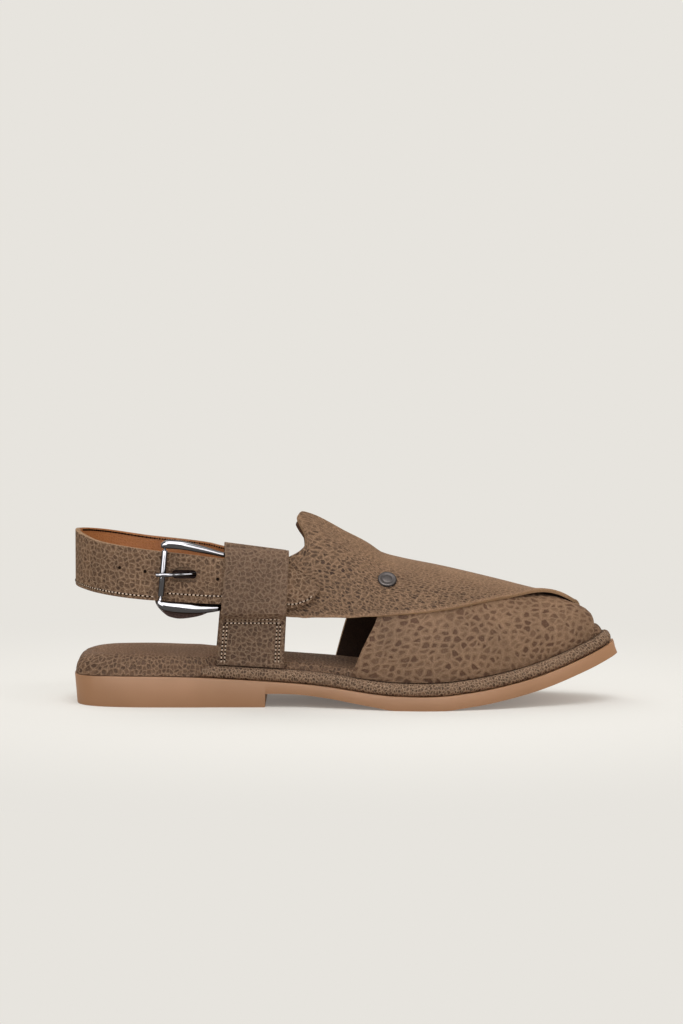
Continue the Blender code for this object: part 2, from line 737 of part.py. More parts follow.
crossed = new_object("crossed_upper", strap_bmesh(UNDER_RISE, LATERAL, 0.0, 0.0), leather, shoe)
over = new_object(
    "over_strap",
    strap_bmesh(OVER_RISE, MEDIAL, STRAP_WALL - CROSSING_SINK, OVER_BASE_OFFSET),
    leather,
    cutters,
)
over.hide_render = True
over.display_type = "WIRE"
joined = crossed.modifiers.new("joined_where_they_cross", "BOOLEAN")
joined.operation = "UNION"
joined.object = over

new_object("lateral_keeper", keeper_bmesh(LATERAL_KEEPER), loop, shoe)
new_object("medial_keeper", keeper_bmesh(MEDIAL_KEEPER), loop, shoe)

heel_strap = new_object("heel_strap", heel_strap_bmesh(), strap, shoe)
slot_bm = bmesh.new()
bmesh.ops.create_cube(slot_bm, size=1.0)
for corner in slot_bm.verts:
    corner.co.x = PRONG_SLOT[0] if corner.co.x < 0 else PRONG_SLOT[1]
    corner.co.y = -HEEL_BOW_HALF + math.copysign(PRONG_SLOT_REACH, corner.co.y)
    corner.co.z = PRONG_SLOT[2] if corner.co.z < 0 else PRONG_SLOT[3]
slot = new_object("prong_slot", slot_bm, strap, cutters)
slot.hide_render = True
slot.display_type = "WIRE"
cut = heel_strap.modifiers.new("prong_slot", "BOOLEAN")
cut.operation = "DIFFERENCE"
cut.object = slot

new_object("buckle_tab", tab_bmesh(), tongue, shoe)

frame_points = [(x, frame_y(x), z) for x, z, _ in FRAME["rows"]]
tube("buckle_frame", frame_points, [row[2] for row in FRAME["rows"]], gunmetal, shoe, closed=True)

prong_points = [(x, -out, PRONG_Z) for x, out in PRONG["rows"]]
roller_foot = Vector((ROLLER_FOOT[0], frame_y(ROLLER_FOOT[0]), ROLLER_FOOT[1] + ROLLER_END_GAP))
roller_top = Vector((ROLLER_TOP[0], frame_y(ROLLER_TOP[0]), ROLLER_TOP[1] - ROLLER_END_GAP))
roller_bm = bmesh.new()
bmesh.ops.create_circle(roller_bm, cap_ends=False, segments=20, radius=ROLLER_RADIUS)
bmesh.ops.create_circle(roller_bm, cap_ends=False, segments=20, radius=ROLLER_BORE)
bmesh.ops.bridge_loops(roller_bm, edges=roller_bm.edges)
raised = bmesh.ops.extrude_face_region(roller_bm, geom=list(roller_bm.faces))["geom"]
for item in raised:
    if isinstance(item, bmesh.types.BMVert):
        item.co.z = (roller_top - roller_foot).length
roller_turn = Vector((0, 0, 1)).rotation_difference(roller_top - roller_foot).to_matrix()
bmesh.ops.rotate(roller_bm, matrix=roller_turn, verts=roller_bm.verts)
bmesh.ops.translate(roller_bm, vec=roller_foot, verts=roller_bm.verts)
new_object("buckle_roller", roller_bm, gunmetal, shoe)
tube("buckle_prong", prong_points, [PRONG_RADIUS] * len(prong_points), gunmetal, shoe)

stud_girth = girth_at(STUD_X, STUD_Z, LATERAL)
stud_foot = on_last(STUD_X, stud_girth, LATERAL, 0.0)
stud_point = on_last(STUD_X, stud_girth, LATERAL, STRAP_WALL * 2 - CROSSING_SINK)
stud_normal = (stud_point - stud_foot).normalized()
stud_bm = bmesh.new()
bmesh.ops.create_cone(
    stud_bm, cap_ends=True, segments=28, radius1=STUD_RADIUS, radius2=STUD_RADIUS * STUD_DOME,
    depth=STUD_HEIGHT,
)
stud_turn = Vector((0, 0, 1)).rotation_difference(stud_normal).to_matrix()
bmesh.ops.rotate(stud_bm, matrix=stud_turn, verts=stud_bm.verts)
bmesh.ops.translate(
    stud_bm, vec=stud_point + stud_normal * (STUD_HEIGHT / 2 + STUD_SEAT), verts=stud_bm.verts
)
new_object("side_stud", stud_bm, gunmetal, shoe)
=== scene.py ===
"""The looks of a right peshawari chappal in pebbled brown leather on a tan rubber sole.

Sizes are in millimetres of the real shoe and MM turns them into Blender's metres.
The toe points along +X and the outer (lateral) side faces -Y.
"""

import math

import bmesh
import bpy
import numpy as np
from mathutils import Matrix, Vector


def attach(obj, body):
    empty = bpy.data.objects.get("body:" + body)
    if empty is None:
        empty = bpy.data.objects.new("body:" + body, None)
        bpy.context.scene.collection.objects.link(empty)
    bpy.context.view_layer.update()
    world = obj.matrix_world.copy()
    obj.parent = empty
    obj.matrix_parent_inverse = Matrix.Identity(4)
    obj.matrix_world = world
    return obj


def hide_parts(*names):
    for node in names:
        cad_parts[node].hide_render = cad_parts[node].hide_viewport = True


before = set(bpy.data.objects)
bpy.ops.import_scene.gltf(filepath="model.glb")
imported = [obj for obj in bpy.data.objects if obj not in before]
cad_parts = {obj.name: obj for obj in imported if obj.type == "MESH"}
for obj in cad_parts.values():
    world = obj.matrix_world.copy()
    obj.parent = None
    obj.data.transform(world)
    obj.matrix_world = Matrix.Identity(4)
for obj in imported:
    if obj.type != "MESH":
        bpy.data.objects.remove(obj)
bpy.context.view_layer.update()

# The view and its studio: a long lens a little above the sandal's outer side, a pale floor that
# runs on into the backdrop without a line, two soft lamps, and cards that show in glints alone.
MM = 0.001
MM_PER_PIXEL = 0.5318
PHOTO_SIZE = (683, 1024)
MID_LENGTH_PIXEL = 347.0
FLOOR_PIXEL = 700.8
CAMERA_ELEVATION = 5.0
CAMERA_DISTANCE = 2500.0
SENSOR = 36.0
BACKDROP = "e7e4de"
FLOOR_RADIUS = 6000.0
FLOOR_LIT_RADIUS = 420.0
FLOOR_LIT_SHARE = 0.85


def linear(code):
    """Turns an sRGB hex colour into Blender's linear one."""
    parts = [int(code[i:i + 2], 16) / 255 for i in (0, 2, 4)]
    return (*[p / 12.92 if p <= 0.04045 else ((p + 0.055) / 1.055) ** 2.4 for p in parts], 1.0)


def add(tree, kind, links=None, **settings):
    """Adds a node, sets it and fills its sockets with values or with other nodes' outputs."""
    made = tree.nodes.new(kind)
    for name, value in settings.items():
        setattr(made, name, value)
    for socket, value in (links or {}).items():
        if isinstance(value, bpy.types.NodeSocket):
            tree.links.new(value, made.inputs[socket])
        else:
            made.inputs[socket].default_value = value
    return made


def in_scene(name, data):
    """A new object for a mesh, a lamp or the camera, put in the scene."""
    made = bpy.data.objects.new(name, data)
    bpy.context.scene.collection.objects.link(made)
    return made


def mesh_of(name, bm):
    """Turns a bmesh into a mesh and frees it."""
    mesh = bpy.data.meshes.new(name)
    bm.to_mesh(mesh)
    bm.free()
    return mesh


def remap(tree, value, *ends, **settings):
    """Moves a value from one range to another: ends are the old range's two, then the new one's."""
    return add(tree, "ShaderNodeMapRange", {0: value, **dict(enumerate(ends, 1))}, **settings).outputs[0]


target = Vector((
    (PHOTO_SIZE[0] / 2 - MID_LENGTH_PIXEL) * MM_PER_PIXEL,
    0.0,
    (FLOOR_PIXEL - PHOTO_SIZE[1] / 2) * MM_PER_PIXEL,
)) * MM
back = Vector((0, -math.cos(math.radians(CAMERA_ELEVATION)), math.sin(math.radians(CAMERA_ELEVATION))))
camera_data = bpy.data.cameras.new("camera")
camera_data.sensor_fit = "VERTICAL"
camera_data.sensor_height = SENSOR
camera_data.lens = SENSOR * CAMERA_DISTANCE / (PHOTO_SIZE[1] * MM_PER_PIXEL)
camera = in_scene("camera", camera_data)
camera.location = target + back * CAMERA_DISTANCE * MM
camera.rotation_euler = (-back).to_track_quat("-Z", "Y").to_euler()
bpy.context.scene.camera = camera
bpy.context.scene.view_settings.view_transform = "Standard"

world = bpy.data.worlds.new("studio")
world.use_nodes = True
world.node_tree.nodes["Background"].inputs["Color"].default_value = linear(BACKDROP)
bpy.context.scene.world = world
# Each lamp: its place in millimetres, width and height in metres, watts, and if it only glints.
for name, place, width, height, energy, glint_only in (
    ("broad_lamp", (300, -500, 1500), 0.9, 0.9, 9.0, False),
    ("back_lamp", (-600, 800, 1200), 0.9, 0.9, 4.0, False),
    ("glint_box", (-250, -1300, 850), 1.4, 0.9, 56.0, True),
    ("glint_top", (-150, -600, 1450), 1.3, 0.8, 34.0, True),
    ("left_card", (-330, -400, 180), 0.42, 0.34, 5.5, True),
    ("right_card", (180, -430, 180), 0.36, 0.34, 4.5, True),
):
    lamp = bpy.data.lights.new(name, "AREA")
    lamp.shape = "RECTANGLE"
    lamp.size = width
    lamp.size_y = height
    lamp.energy = energy
    lamp_object = in_scene(name, lamp)
    lamp_object.location = Vector(place) * MM
    lamp_object.rotation_euler = (-lamp_object.location).to_track_quat("-Z", "Y").to_euler()
    lamp_object.visible_diffuse = not glint_only
    lamp_object.visible_camera = False

floor_bm = bmesh.new()
bmesh.ops.create_circle(floor_bm, cap_ends=True, segments=64, radius=FLOOR_RADIUS * MM)
floor_mesh = mesh_of("floor", floor_bm)
floor = in_scene("floor", floor_mesh)
paper = bpy.data.materials.new("backdrop_paper")
paper.use_nodes = True
paper_tree = paper.node_tree
paper_tree.nodes.remove(paper_tree.nodes["Principled BSDF"])
place_out = add(paper_tree, "ShaderNodeTexCoord").outputs["Object"]
radius_out = add(paper_tree, "ShaderNodeVectorMath", {0: place_out}, operation="LENGTH").outputs["Value"]
fade = remap(
    paper_tree, radius_out, 0.0, FLOOR_LIT_RADIUS * MM, FLOOR_LIT_SHARE, 0.0, interpolation_type="SMOOTHSTEP"
)
glow = add(paper_tree, "ShaderNodeEmission", {"Color": linear(BACKDROP)}).outputs[0]
matte = add(paper_tree, "ShaderNodeBsdfDiffuse", {"Color": linear("e6e5e2")}).outputs[0]
both = add(paper_tree, "ShaderNodeMixShader", {0: fade, 1: glow, 2: matte}).outputs[0]
paper_tree.links.new(both, paper_tree.nodes["Material Output"].inputs["Surface"])
floor_mesh.materials.append(paper)

# The outsole is one moulded tan rubber unit: a flat heel block with a square breast, an arched
# shank, a flat ball and a sprung, pointed toe. Its sides are smooth and satin from the mould.
LATERAL = -1
MEDIAL = 1
SEAT_GAP = 0.4
# The outsole's upper edge line, its outline in plan and its depth, from the heel to the toe.
# Columns: x, lateral, medial, edge, depth.
SOLE = (
    (-144.6, 9.0, 9.0, 15.7, 15.7), (-143.8, 15.0, 15.0, 15.7, 15.7), (-142.0, 20.0, 20.0, 15.8, 15.8),
    (-138.5, 25.0, 25.0, 15.9, 15.9), (-133.0, 29.0, 28.6, 16.1, 16.1), (-124.0, 32.0, 31.2, 16.3, 16.3),
    (-108.0, 33.6, 32.8, 16.3, 16.3), (-85.0, 33.8, 32.6, 15.9, 15.9), (-62.0, 33.2, 31.0, 14.7, 14.7),
    (-42.0, 33.2, 29.4, 13.5, 6.4), (-25.0, 34.2, 29.0, 12.4, 5.6), (-9.0, 37.8, 30.6, 11.0, 5.9),
    (2.0, 41.4, 33.6, 9.6, 6.2), (13.0, 45.0, 38.0, 8.3, 6.6), (25.0, 48.2, 42.6, 7.4, 7.4),
    (40.0, 50.0, 46.6, 7.2, 7.2), (52.0, 49.2, 47.6, 7.6, 7.5), (62.0, 46.8, 47.2, 8.6, 7.3),
    (72.0, 44.0, 45.8, 9.9, 7.2), (82.0, 40.4, 43.4, 11.6, 7.0), (92.0, 36.4, 39.8, 13.7, 6.9),
    (103.0, 31.6, 35.0, 16.6, 6.8), (113.0, 27.4, 30.8, 20.0, 6.7), (121.0, 23.6, 26.8, 23.0, 6.6),
    (128.0, 19.6, 22.6, 25.8, 6.6), (134.0, 15.2, 18.0, 28.4, 6.5), (138.0, 11.2, 14.2, 30.2, 6.5),
    (140.8, 6.6, 10.2, 31.5, 6.4), (142.0, 2.2, 6.4, 32.0, 6.4),
)
SOLE_BACK = SOLE[0][0]
SOLE_TIP = SOLE[-1][0]
OUTLINE_STEP = 0.3
BREAST_X = -43.0
BREAST_FACE = 0.3
BREAST_SLANT = 0.5
BREAST_REACH = 6.0
LEAN_FROM = 55.0
LEAN_FULL = 85.0
HEEL_TAPER = 1.3
HEEL_TAPER_X = (-140.0, -100.0)
OUTSOLE_STATIONS = (
    -144.6, -143.8, -142.0, -138.5, -133.0, -124.0, -108.0, -85.0, -62.0, BREAST_X,
    BREAST_X + BREAST_FACE, -30.0, -17.0, -5.0, 6.0, 16.0, 25.0, 38.0, 52.0, 62.0, 72.0,
    82.0, 92.0, 103.0, 113.0, 121.0, 128.0, 134.0, 138.0, 140.8, 142.0,
)


def curve_of(points):
    """A smooth curve through (x, y) points that never swings past them."""
    xs, ys = [np.array(values) for values in zip(*sorted(points))]
    rises = np.diff(ys) / np.diff(xs)
    slopes = np.concatenate(([rises[0]], np.zeros(len(xs) - 2), [rises[-1]]))
    for i in range(1, len(xs) - 1):
        if rises[i - 1] * rises[i] > 0:
            slopes[i] = 2 * rises[i - 1] * rises[i] / (rises[i - 1] + rises[i])

    def value(x):
        x = min(max(x, xs[0]), xs[-1])
        i = int(min(max(np.searchsorted(xs, x) - 1, 0), len(xs) - 2))
        step = xs[i + 1] - xs[i]
        t = (x - xs[i]) / step
        start = (1 + 2 * t) * (1 - t) ** 2 * ys[i] + t * (1 - t) ** 2 * step * slopes[i]
        end = t * t * (3 - 2 * t) * ys[i + 1] + t * t * (t - 1) * step * slopes[i + 1]
        return float(start + end)

    return value


def curves_of(rows):
    """A curve for each column of a table but its first, which they run over."""
    return [curve_of([(row[0], row[i]) for row in rows]) for i in range(1, len(rows[0]))]


def ease(value, low, high):
    """0 below low, 1 above high and a soft step between them."""
    t = min(max((value - low) / (high - low), 0.0), 1.0)
    return t * t * (3 - 2 * t)


def between(low, high, part):
    return low + (high - low) * part


def spread(low, high, count):
    return [low + (high - low) * i / count for i in range(count + 1)]


def finer(stations, count):
    """The same stations with count steps between each two of them."""
    made = [stations[0]]
    for low, high in zip(stations, stations[1:]):
        made += spread(low, high, count)[1:]
    return made


lateral_width, medial_width, sole_edge, sole_depth = curves_of(SOLE)
outline = {LATERAL: lateral_width, MEDIAL: medial_width}


def sole_tilt(x):
    """The slope of the toe spring, as an angle."""
    rise = (sole_edge(x + 0.5) - sole_edge(x - 0.5)) * ease(x, LEAN_FROM, LEAN_FULL)
    return math.atan(rise)


def over_sole(x, y, height):
    """A point at a height square to the outsole's edge line."""
    tilt = sole_tilt(x)
    return (x - height * math.sin(tilt), y, sole_edge(x) + height * math.cos(tilt))


def edge_point(x, side, inset):
    """The outline's point at x, moved inwards square to the outline."""
    low = max(x - OUTLINE_STEP, SOLE_BACK)
    high = min(x + OUTLINE_STEP, SOLE_TIP)
    slope = (outline[side](high) - outline[side](low)) / (high - low)
    length = math.hypot(1.0, slope)
    return (x + inset * slope / length, side * (outline[side](x) - inset / length))


def across(x, part, inset):
    """The plan point at part 0 (lateral edge) to 1 (medial edge) of one station."""
    near = edge_point(x, LATERAL, inset)
    far = edge_point(x, MEDIAL, inset)
    return (between(near[0], far[0], part), between(near[1], far[1], part))


def slab(us, vs, ws, place, feel=None):
    """A closed slab: a grid over us and vs, extruded through ws, with each corner put in its place.

    Its outer faces take material 0, its inner faces 1 and its cut edges 2. feel gives, for a
    corner, how strong the grain is and how light the surface, painted shade and sheen included,
    both from 0 to 1. skin is the place on the surface laid flat, in millimetres from its middle,
    with the edges folded out.
    """
    bm = bmesh.new()
    felt = bm.verts.layers.float_color.new("feel")
    skin = bm.verts.layers.float_vector.new("skin")
    outer = [[Vector(place(u, v, ws[-1])) for v in vs] for u in us]
    run = [[0.0] * len(vs) for _ in us]
    span = [[0.0] * len(vs) for _ in us]
    for a in range(len(us)):
        for b in range(len(vs)):
            if a:
                run[a][b] = run[a - 1][b] + (outer[a][b] - outer[a - 1][b]).length
            if b:
                span[a][b] = span[a][b - 1] + (outer[a][b] - outer[a][b - 1]).length
    bmesh.ops.create_grid(bm, x_segments=len(us) - 1, y_segments=len(vs) - 1, size=1.0)
    faces = list(bm.faces)
    for face in faces:
        face.material_index = 1
    for layer in range(1, len(ws)):
        made = bmesh.ops.extrude_face_region(bm, geom=faces)["geom"]
        if layer > 1:
            bmesh.ops.delete(bm, geom=faces, context="FACES_ONLY")
        faces = [item for item in made if isinstance(item, bmesh.types.BMFace)]
        for item in made:
            if isinstance(item, bmesh.types.BMVert):
                item.co.z = layer
    for face in bm.faces:
        levels = {round(vert.co.z) for vert in face.verts}
        face.material_index = 2 if len(levels) > 1 else 1 if levels == {0} else 0
    for vert in bm.verts:
        a = round((vert.co.x + 1) / 2 * (len(us) - 1))
        b = round((vert.co.y + 1) / 2 * (len(vs) - 1))
        u, v, w = us[a], vs[b], ws[round(vert.co.z)]
        vert.co = place(u, v, w)
        down = (vert.co - outer[a][b]).length
        fold_u = down * ((a == len(us) - 1) - (a == 0))
        fold_v = down * ((b == len(vs) - 1) - (b == 0))
        vert[skin] = (
            run[a][b] - run[len(us) // 2][b] + fold_u,
            span[a][b] - span[a][len(vs) // 2] + fold_v,
            0.0,
        )
        grain, tone = feel(u, v, w) if feel else (1.0, 0.5)
        vert[felt] = (grain, tone, 0.0, 1.0)
    return bm


def new_piece(name, bm, materials, replaced=(), bevel=0.0, sharp=40.0):
    """Makes a piece of the shoe from a bmesh in millimetres, hangs it on the root body and hides the CAD
    parts it replaces.
    """
    bmesh.ops.scale(bm, vec=(MM, MM, MM), verts=bm.verts)
    bmesh.ops.recalc_face_normals(bm, faces=bm.faces)
    if bevel:
        edges = [e for e in bm.edges if len(e.link_faces) == 2 and e.calc_face_angle(0) > math.radians(50)]
        bmesh.ops.bevel(
            bm, geom=edges, offset=bevel * MM, offset_type="OFFSET", affect="EDGES", segments=2,
            profile=0.5, material=-1, clamp_overlap=True,
        )
    mesh = mesh_of(name, bm)
    mesh.shade_smooth()
    mesh.set_sharp_from_angle(angle=math.radians(sharp))
    for material in materials:
        mesh.materials.append(material)
    piece = in_scene(name, mesh)
    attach(piece, "root")
    if replaced:
        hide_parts(*replaced)
    return piece


def finish(name):
    """A new material, with its node tree, its shader and its object coordinates."""
    material = bpy.data.materials.new(name)
    material.use_nodes = True
    tree = material.node_tree
    place = add(tree, "ShaderNodeTexCoord").outputs["Object"]
    return material, tree, tree.nodes["Principled BSDF"], place


def noise(tree, place, scale, detail, roughness=0.5):
    links = {"Vector": place, "Scale": scale, "Detail": detail, "Roughness": roughness}
    return add(tree, "ShaderNodeTexNoise", links).outputs["Fac"]


def blend(tree, share, low, high):
    """A mix of two colours."""
    return add(tree, "ShaderNodeMix", {0: share, 6: low, 7: high}, data_type="RGBA").outputs[2]


def moulded_rubber():
    """Satin moulded rubber: a faint cloudy tone and a fine mould grain."""
    material, tree, shader, place = finish("moulded_tan_rubber")
    tone = remap(tree, noise(tree, place, 22.0, 3.0), 0.3, 0.7)
    colour = blend(tree, tone, linear("966f50"), linear("a2795a"))
    tree.links.new(colour, shader.inputs["Base Color"])
    shader.inputs["Roughness"].default_value = 0.55
    shader.inputs["Specular IOR Level"].default_value = 0.09
    shader.inputs["Coat Weight"].default_value = 0.02
    shader.inputs["Coat Roughness"].default_value = 0.35
    grain = noise(tree, place, 1400.0, 2.0)
    bump = add(tree, "ShaderNodeBump", {"Height": grain, "Distance": 0.00006, "Strength": 0.35}).outputs[0]
    tree.links.new(bump, shader.inputs["Normal"])
    return material


def outsole_place(x, part, level):
    depth = sole_edge(x) if x <= BREAST_X else sole_depth(x)
    taper = HEEL_TAPER * (1 - level) * (1 - ease(x, *HEEL_TAPER_X))
    px, py = across(x, part, taper)
    if abs(x - BREAST_X) < BREAST_REACH:
        px += BREAST_SLANT * (part - 0.5)
    return over_sole(px, py, -depth * (1 - level))


rubber = moulded_rubber()
new_piece(
    "rubber_outsole", slab(finer(OUTSOLE_STATIONS, 4), spread(0, 1, 12), (0, 0.5, 1), outsole_place),
    [rubber, rubber, rubber], ["outsole"], bevel=0.7,
)

# The platform is a midsole board wrapped in fine-grained leather. Its edge shows as a round,
# stippled bead between the rubber and the straps, and it starts out of the heel cushion's side.
# The wrapped platform and the pad on it: heights above the outsole's edge line.
# Columns: x, platform, pad_inset, pad_top, pad_round.
DECK = (
    (-144.6, 0.0, 0.6, 11.6, 11.0), (-124.0, 0.0, 0.6, 12.2, 9.5), (-100.0, 0.0, 0.6, 12.0, 7.0),
    (-92.0, 0.8, 0.8, 11.8, 6.0), (-86.0, 2.2, 1.2, 11.7, 5.5), (-79.0, 4.7, 3.2, 11.7, 4.6),
    (-72.0, 6.1, 5.6, 11.8, 4.2), (-60.0, 6.6, 6.0, 11.7, 4.0), (-30.0, 6.6, 6.2, 11.2, 4.0),
    (0.0, 6.6, 7.0, 11.4, 4.0), (40.0, 6.6, 7.2, 11.4, 4.0), (100.0, 6.6, 7.2, 11.6, 4.2),
    (128.0, 6.6, 7.0, 12.4, 4.4), (134.0, 6.6, 6.8, 12.2, 4.5), (138.0, 6.6, 4.6, 13.4, 5.2),
    (142.0, 6.6, 3.2, 13.0, 5.6),
)
PLATFORM_SEAT = 0.3
PLATFORM_STATIONS = (-92.0, -86.0, -79.0, -72.0, -60.0, -45.0, -30.0) + tuple(
    x for x in OUTSOLE_STATIONS if x > -20
)
BEAD_INSET = 0.5
BEAD_ROUND = 2.34
CUSHION_TUCK = 0.8
INSOLE_STATIONS = (
    tuple(x for x in OUTSOLE_STATIONS if x < -97)
    + (-97.0, -91.0, -85.0, -79.0, -72.0, -52.0, -35.0)
    + tuple(x for x in OUTSOLE_STATIONS if x > -20)
)
PAD_CROWN = 1.6
PAD_SUPERELLIPSE = 2.3
PORE_SCALE = 1300.0
PATCH_SCALE = 42.0
GRAIN_WANDER = 0.7
GRAIN_RANDOMNESS = 0.85
platform_height, pad_inset, pad_top, pad_round = curves_of(DECK)


def figure(tree, operation, *values):
    """The result of one Math node."""
    return add(tree, "ShaderNodeMath", dict(enumerate(values)), operation=operation).outputs[0]


def leather(name, colours, cell, spots, net, relief, roughness, turn=0.0, stretch=1.0, size=(0.1, 0.26)):
    """Drum-dyed leather with a raised grain.

    colours are the ground, the grain's hollows and its rubbed net; cell is the grain's size in
    millimetres; spots and net say how strongly hollows and net show, and size how far apart the
    hollows lie, in shares of a cell; turn and stretch lay the grain in one direction. The finest
    pores are drawn at 0.7 mm, as coarse as a render shows.
    """
    material, tree, shader, place = finish(name)
    ground, hollow, rubbed = [linear(code) for code in colours]
    skin = add(tree, "ShaderNodeAttribute", attribute_name="skin").outputs["Vector"]
    felt = add(tree, "ShaderNodeAttribute", attribute_name="feel").outputs["Color"]
    grain, tone = add(tree, "ShaderNodeSeparateColor", {0: felt}).outputs[:2]
    links = {"Vector": skin, "Scale": 0.9 / cell, "Detail": 1.5}
    wander = add(tree, "ShaderNodeTexNoise", links, noise_dimensions="2D").outputs["Color"]
    shift = add(tree, "ShaderNodeVectorMath", {0: wander, 1: (0.5,) * 3}, operation="SUBTRACT").outputs[0]
    links = {0: shift, 1: (cell * GRAIN_WANDER,) * 3, 2: skin}
    moved = add(tree, "ShaderNodeVectorMath", links, operation="MULTIPLY_ADD").outputs[0]
    laid = add(
        tree, "ShaderNodeMapping",
        {"Vector": moved, "Rotation": (0.0, 0.0, turn), "Scale": (stretch, 1.0 / stretch, 1.0)},
        vector_type="TEXTURE",
    ).outputs[0]
    pattern = {"Vector": laid, "Scale": 1.0 / cell, "Randomness": GRAIN_RANDOMNESS}
    cells, borders = [
        add(tree, "ShaderNodeTexVoronoi", pattern, voronoi_dimensions="2D", feature=feature)
        for feature in ("F1", "DISTANCE_TO_EDGE")
    ]
    edges = borders.outputs["Distance"]
    pores = noise(tree, place, PORE_SCALE, 3.0, 0.7)
    patch = noise(tree, place, PATCH_SCALE, 4.0)
    lone = add(tree, "ShaderNodeSeparateColor", {0: cells.outputs["Color"]})
    width = remap(tree, lone.outputs[0], 0.0, 1.0, *size)
    ragged = figure(tree, "MULTIPLY_ADD", pores, 0.16, edges)
    rounded = figure(tree, "MULTIPLY_ADD", cells.outputs["Distance"], -0.45, ragged)
    inside = figure(tree, "SUBTRACT", rounded, width)
    spot = remap(tree, inside, 0.0, 0.16, interpolation_type="SMOOTHSTEP")
    depth = remap(tree, lone.outputs[1], 0.0, 1.0, 0.3, 1.0)
    spot = figure(tree, "MULTIPLY", figure(tree, "MULTIPLY", spot, depth), grain)
    line = figure(tree, "MULTIPLY", remap(tree, edges, 0.1, 0.01), grain)
    colour = blend(tree, figure(tree, "MULTIPLY", spot, spots), ground, hollow)
    colour = blend(tree, figure(tree, "MULTIPLY", line, net), colour, rubbed)
    colour = blend(tree, remap(tree, pores, 0.5, 0.32, 0.0, 0.5), colour, hollow)
    colour = blend(tree, remap(tree, pores, 0.54, 0.7, 0.0, 0.45), colour, rubbed)
    # tone brings each piece's painted shade and sheen and its own lighter or darker parts; bloom is a random
    # cloudy tone.
    bloom = remap(tree, patch, 0.35, 0.65, -0.09, 0.09)
    light = figure(tree, "ADD", figure(tree, "ADD", tone, 0.5), bloom)
    colour = add(tree, "ShaderNodeVectorMath", {0: colour, "Scale": light}, operation="SCALE").outputs[0]
    tree.links.new(colour, shader.inputs["Base Color"])
    shader.inputs["Roughness"].default_value = roughness
    shader.inputs["Specular IOR Level"].default_value = 0.065
    high = figure(tree, "MULTIPLY_ADD", pores, 0.6, figure(tree, "SUBTRACT", 1.0, spot))
    high = figure(tree, "MULTIPLY_ADD", line, 0.3, high)
    bump = add(tree, "ShaderNodeBump", {"Height": high, "Distance": relief * MM, "Strength": 1.0})
    tree.links.new(bump.outputs[0], shader.inputs["Normal"])
    return material


def cushion_end(x):
    """0 where the heel cushion covers the platform's start and 1 where the bead stands free."""
    return ease(x, -80.0, -68.0)


def bead_share(x):
    """How round the bead is: where the platform starts out of the cushion's side it lies flush."""
    return ease(platform_height(x), 1.0, 6.4)


def platform_place(x, part, level):
    inset = BEAD_INSET + BEAD_ROUND * bead_share(x) * (1 - math.cos(math.asin(abs(2 * level - 1))))
    px, py = across(x, part, inset + CUSHION_TUCK * (1 - cushion_end(x)))
    return over_sole(px, py, PLATFORM_SEAT + (platform_height(x) - PLATFORM_SEAT) * level)


edge_leather = leather(
    "stippled_edge_leather", ("866953", "3c291e", "bba389"), 1.5, 1.0, 0.6, 0.4, 0.75, size=(-0.05, 0.15)
)
new_piece(
    "wrapped_platform",
    slab(
        finer(PLATFORM_STATIONS, 4), spread(0, 1, 10), (0, 0.06, 0.2, 0.35, 0.5, 0.65, 0.8, 0.94, 1),
        platform_place,
    ),
    [edge_leather] * 3, ["platform"],
)

# The padded insole is foam under crackled leather: a deep cushion at the heel, flush with the
# rubber, which thins into a pad on the platform and is crowned under the toes.


def insole_place(x, part, level):
    angle = math.radians(90 * level)
    turn = 2 / PAD_SUPERELLIPSE
    foot_inset = 0.6 + (pad_inset(x) - 0.6) * cushion_end(x)
    inset = foot_inset + pad_round(x) * (1 - math.cos(angle) ** turn if level < 1 else 1.0)
    px, py = across(x, part, inset)
    low = SEAT_GAP + (platform_height(x) - SEAT_GAP * 0.5) * cushion_end(x)
    height = low + (pad_top(x) - low) * math.sin(angle) ** turn
    crown = PAD_CROWN * (1 - (2 * part - 1) ** 2) * ease(level, 0.9, 1.0)
    return over_sole(px, py, height - PAD_CROWN * 0.5 * ease(level, 0.5, 1.0) + crown)


def insole_feel(x, part, level):
    top = ease(level, 0.75, 1.0)
    return 1.0 - (0.5 - 0.3 * cushion_end(x)) * top, 0.5 + (0.04 + 0.08 * cushion_end(x)) * top


insole_leather = leather(
    "crackled_insole_leather", ("735742", "3f2a1c", "a3866c"), 2.1, 0.9, 0.65, 0.45, 0.72, size=(-0.05, 0.12)
)
insole = new_piece(
    "padded_insole_pad",
    slab(
        finer(INSOLE_STATIONS, 3), spread(0, 1, 18), (0, 0.1, 0.22, 0.36, 0.5, 0.64, 0.78, 0.9, 1),
        insole_place, insole_feel,
    ),
    [insole_leather] * 3, ["padded_insole"], sharp=75.0,
)

# The upper is two broad straps cut from pebbled nubuck and joined where they cross. The under
# strap's big polygon grain shows low on the outer side; the over strap has a finer, slanting grain.
STRAP_SEAT = 0.8
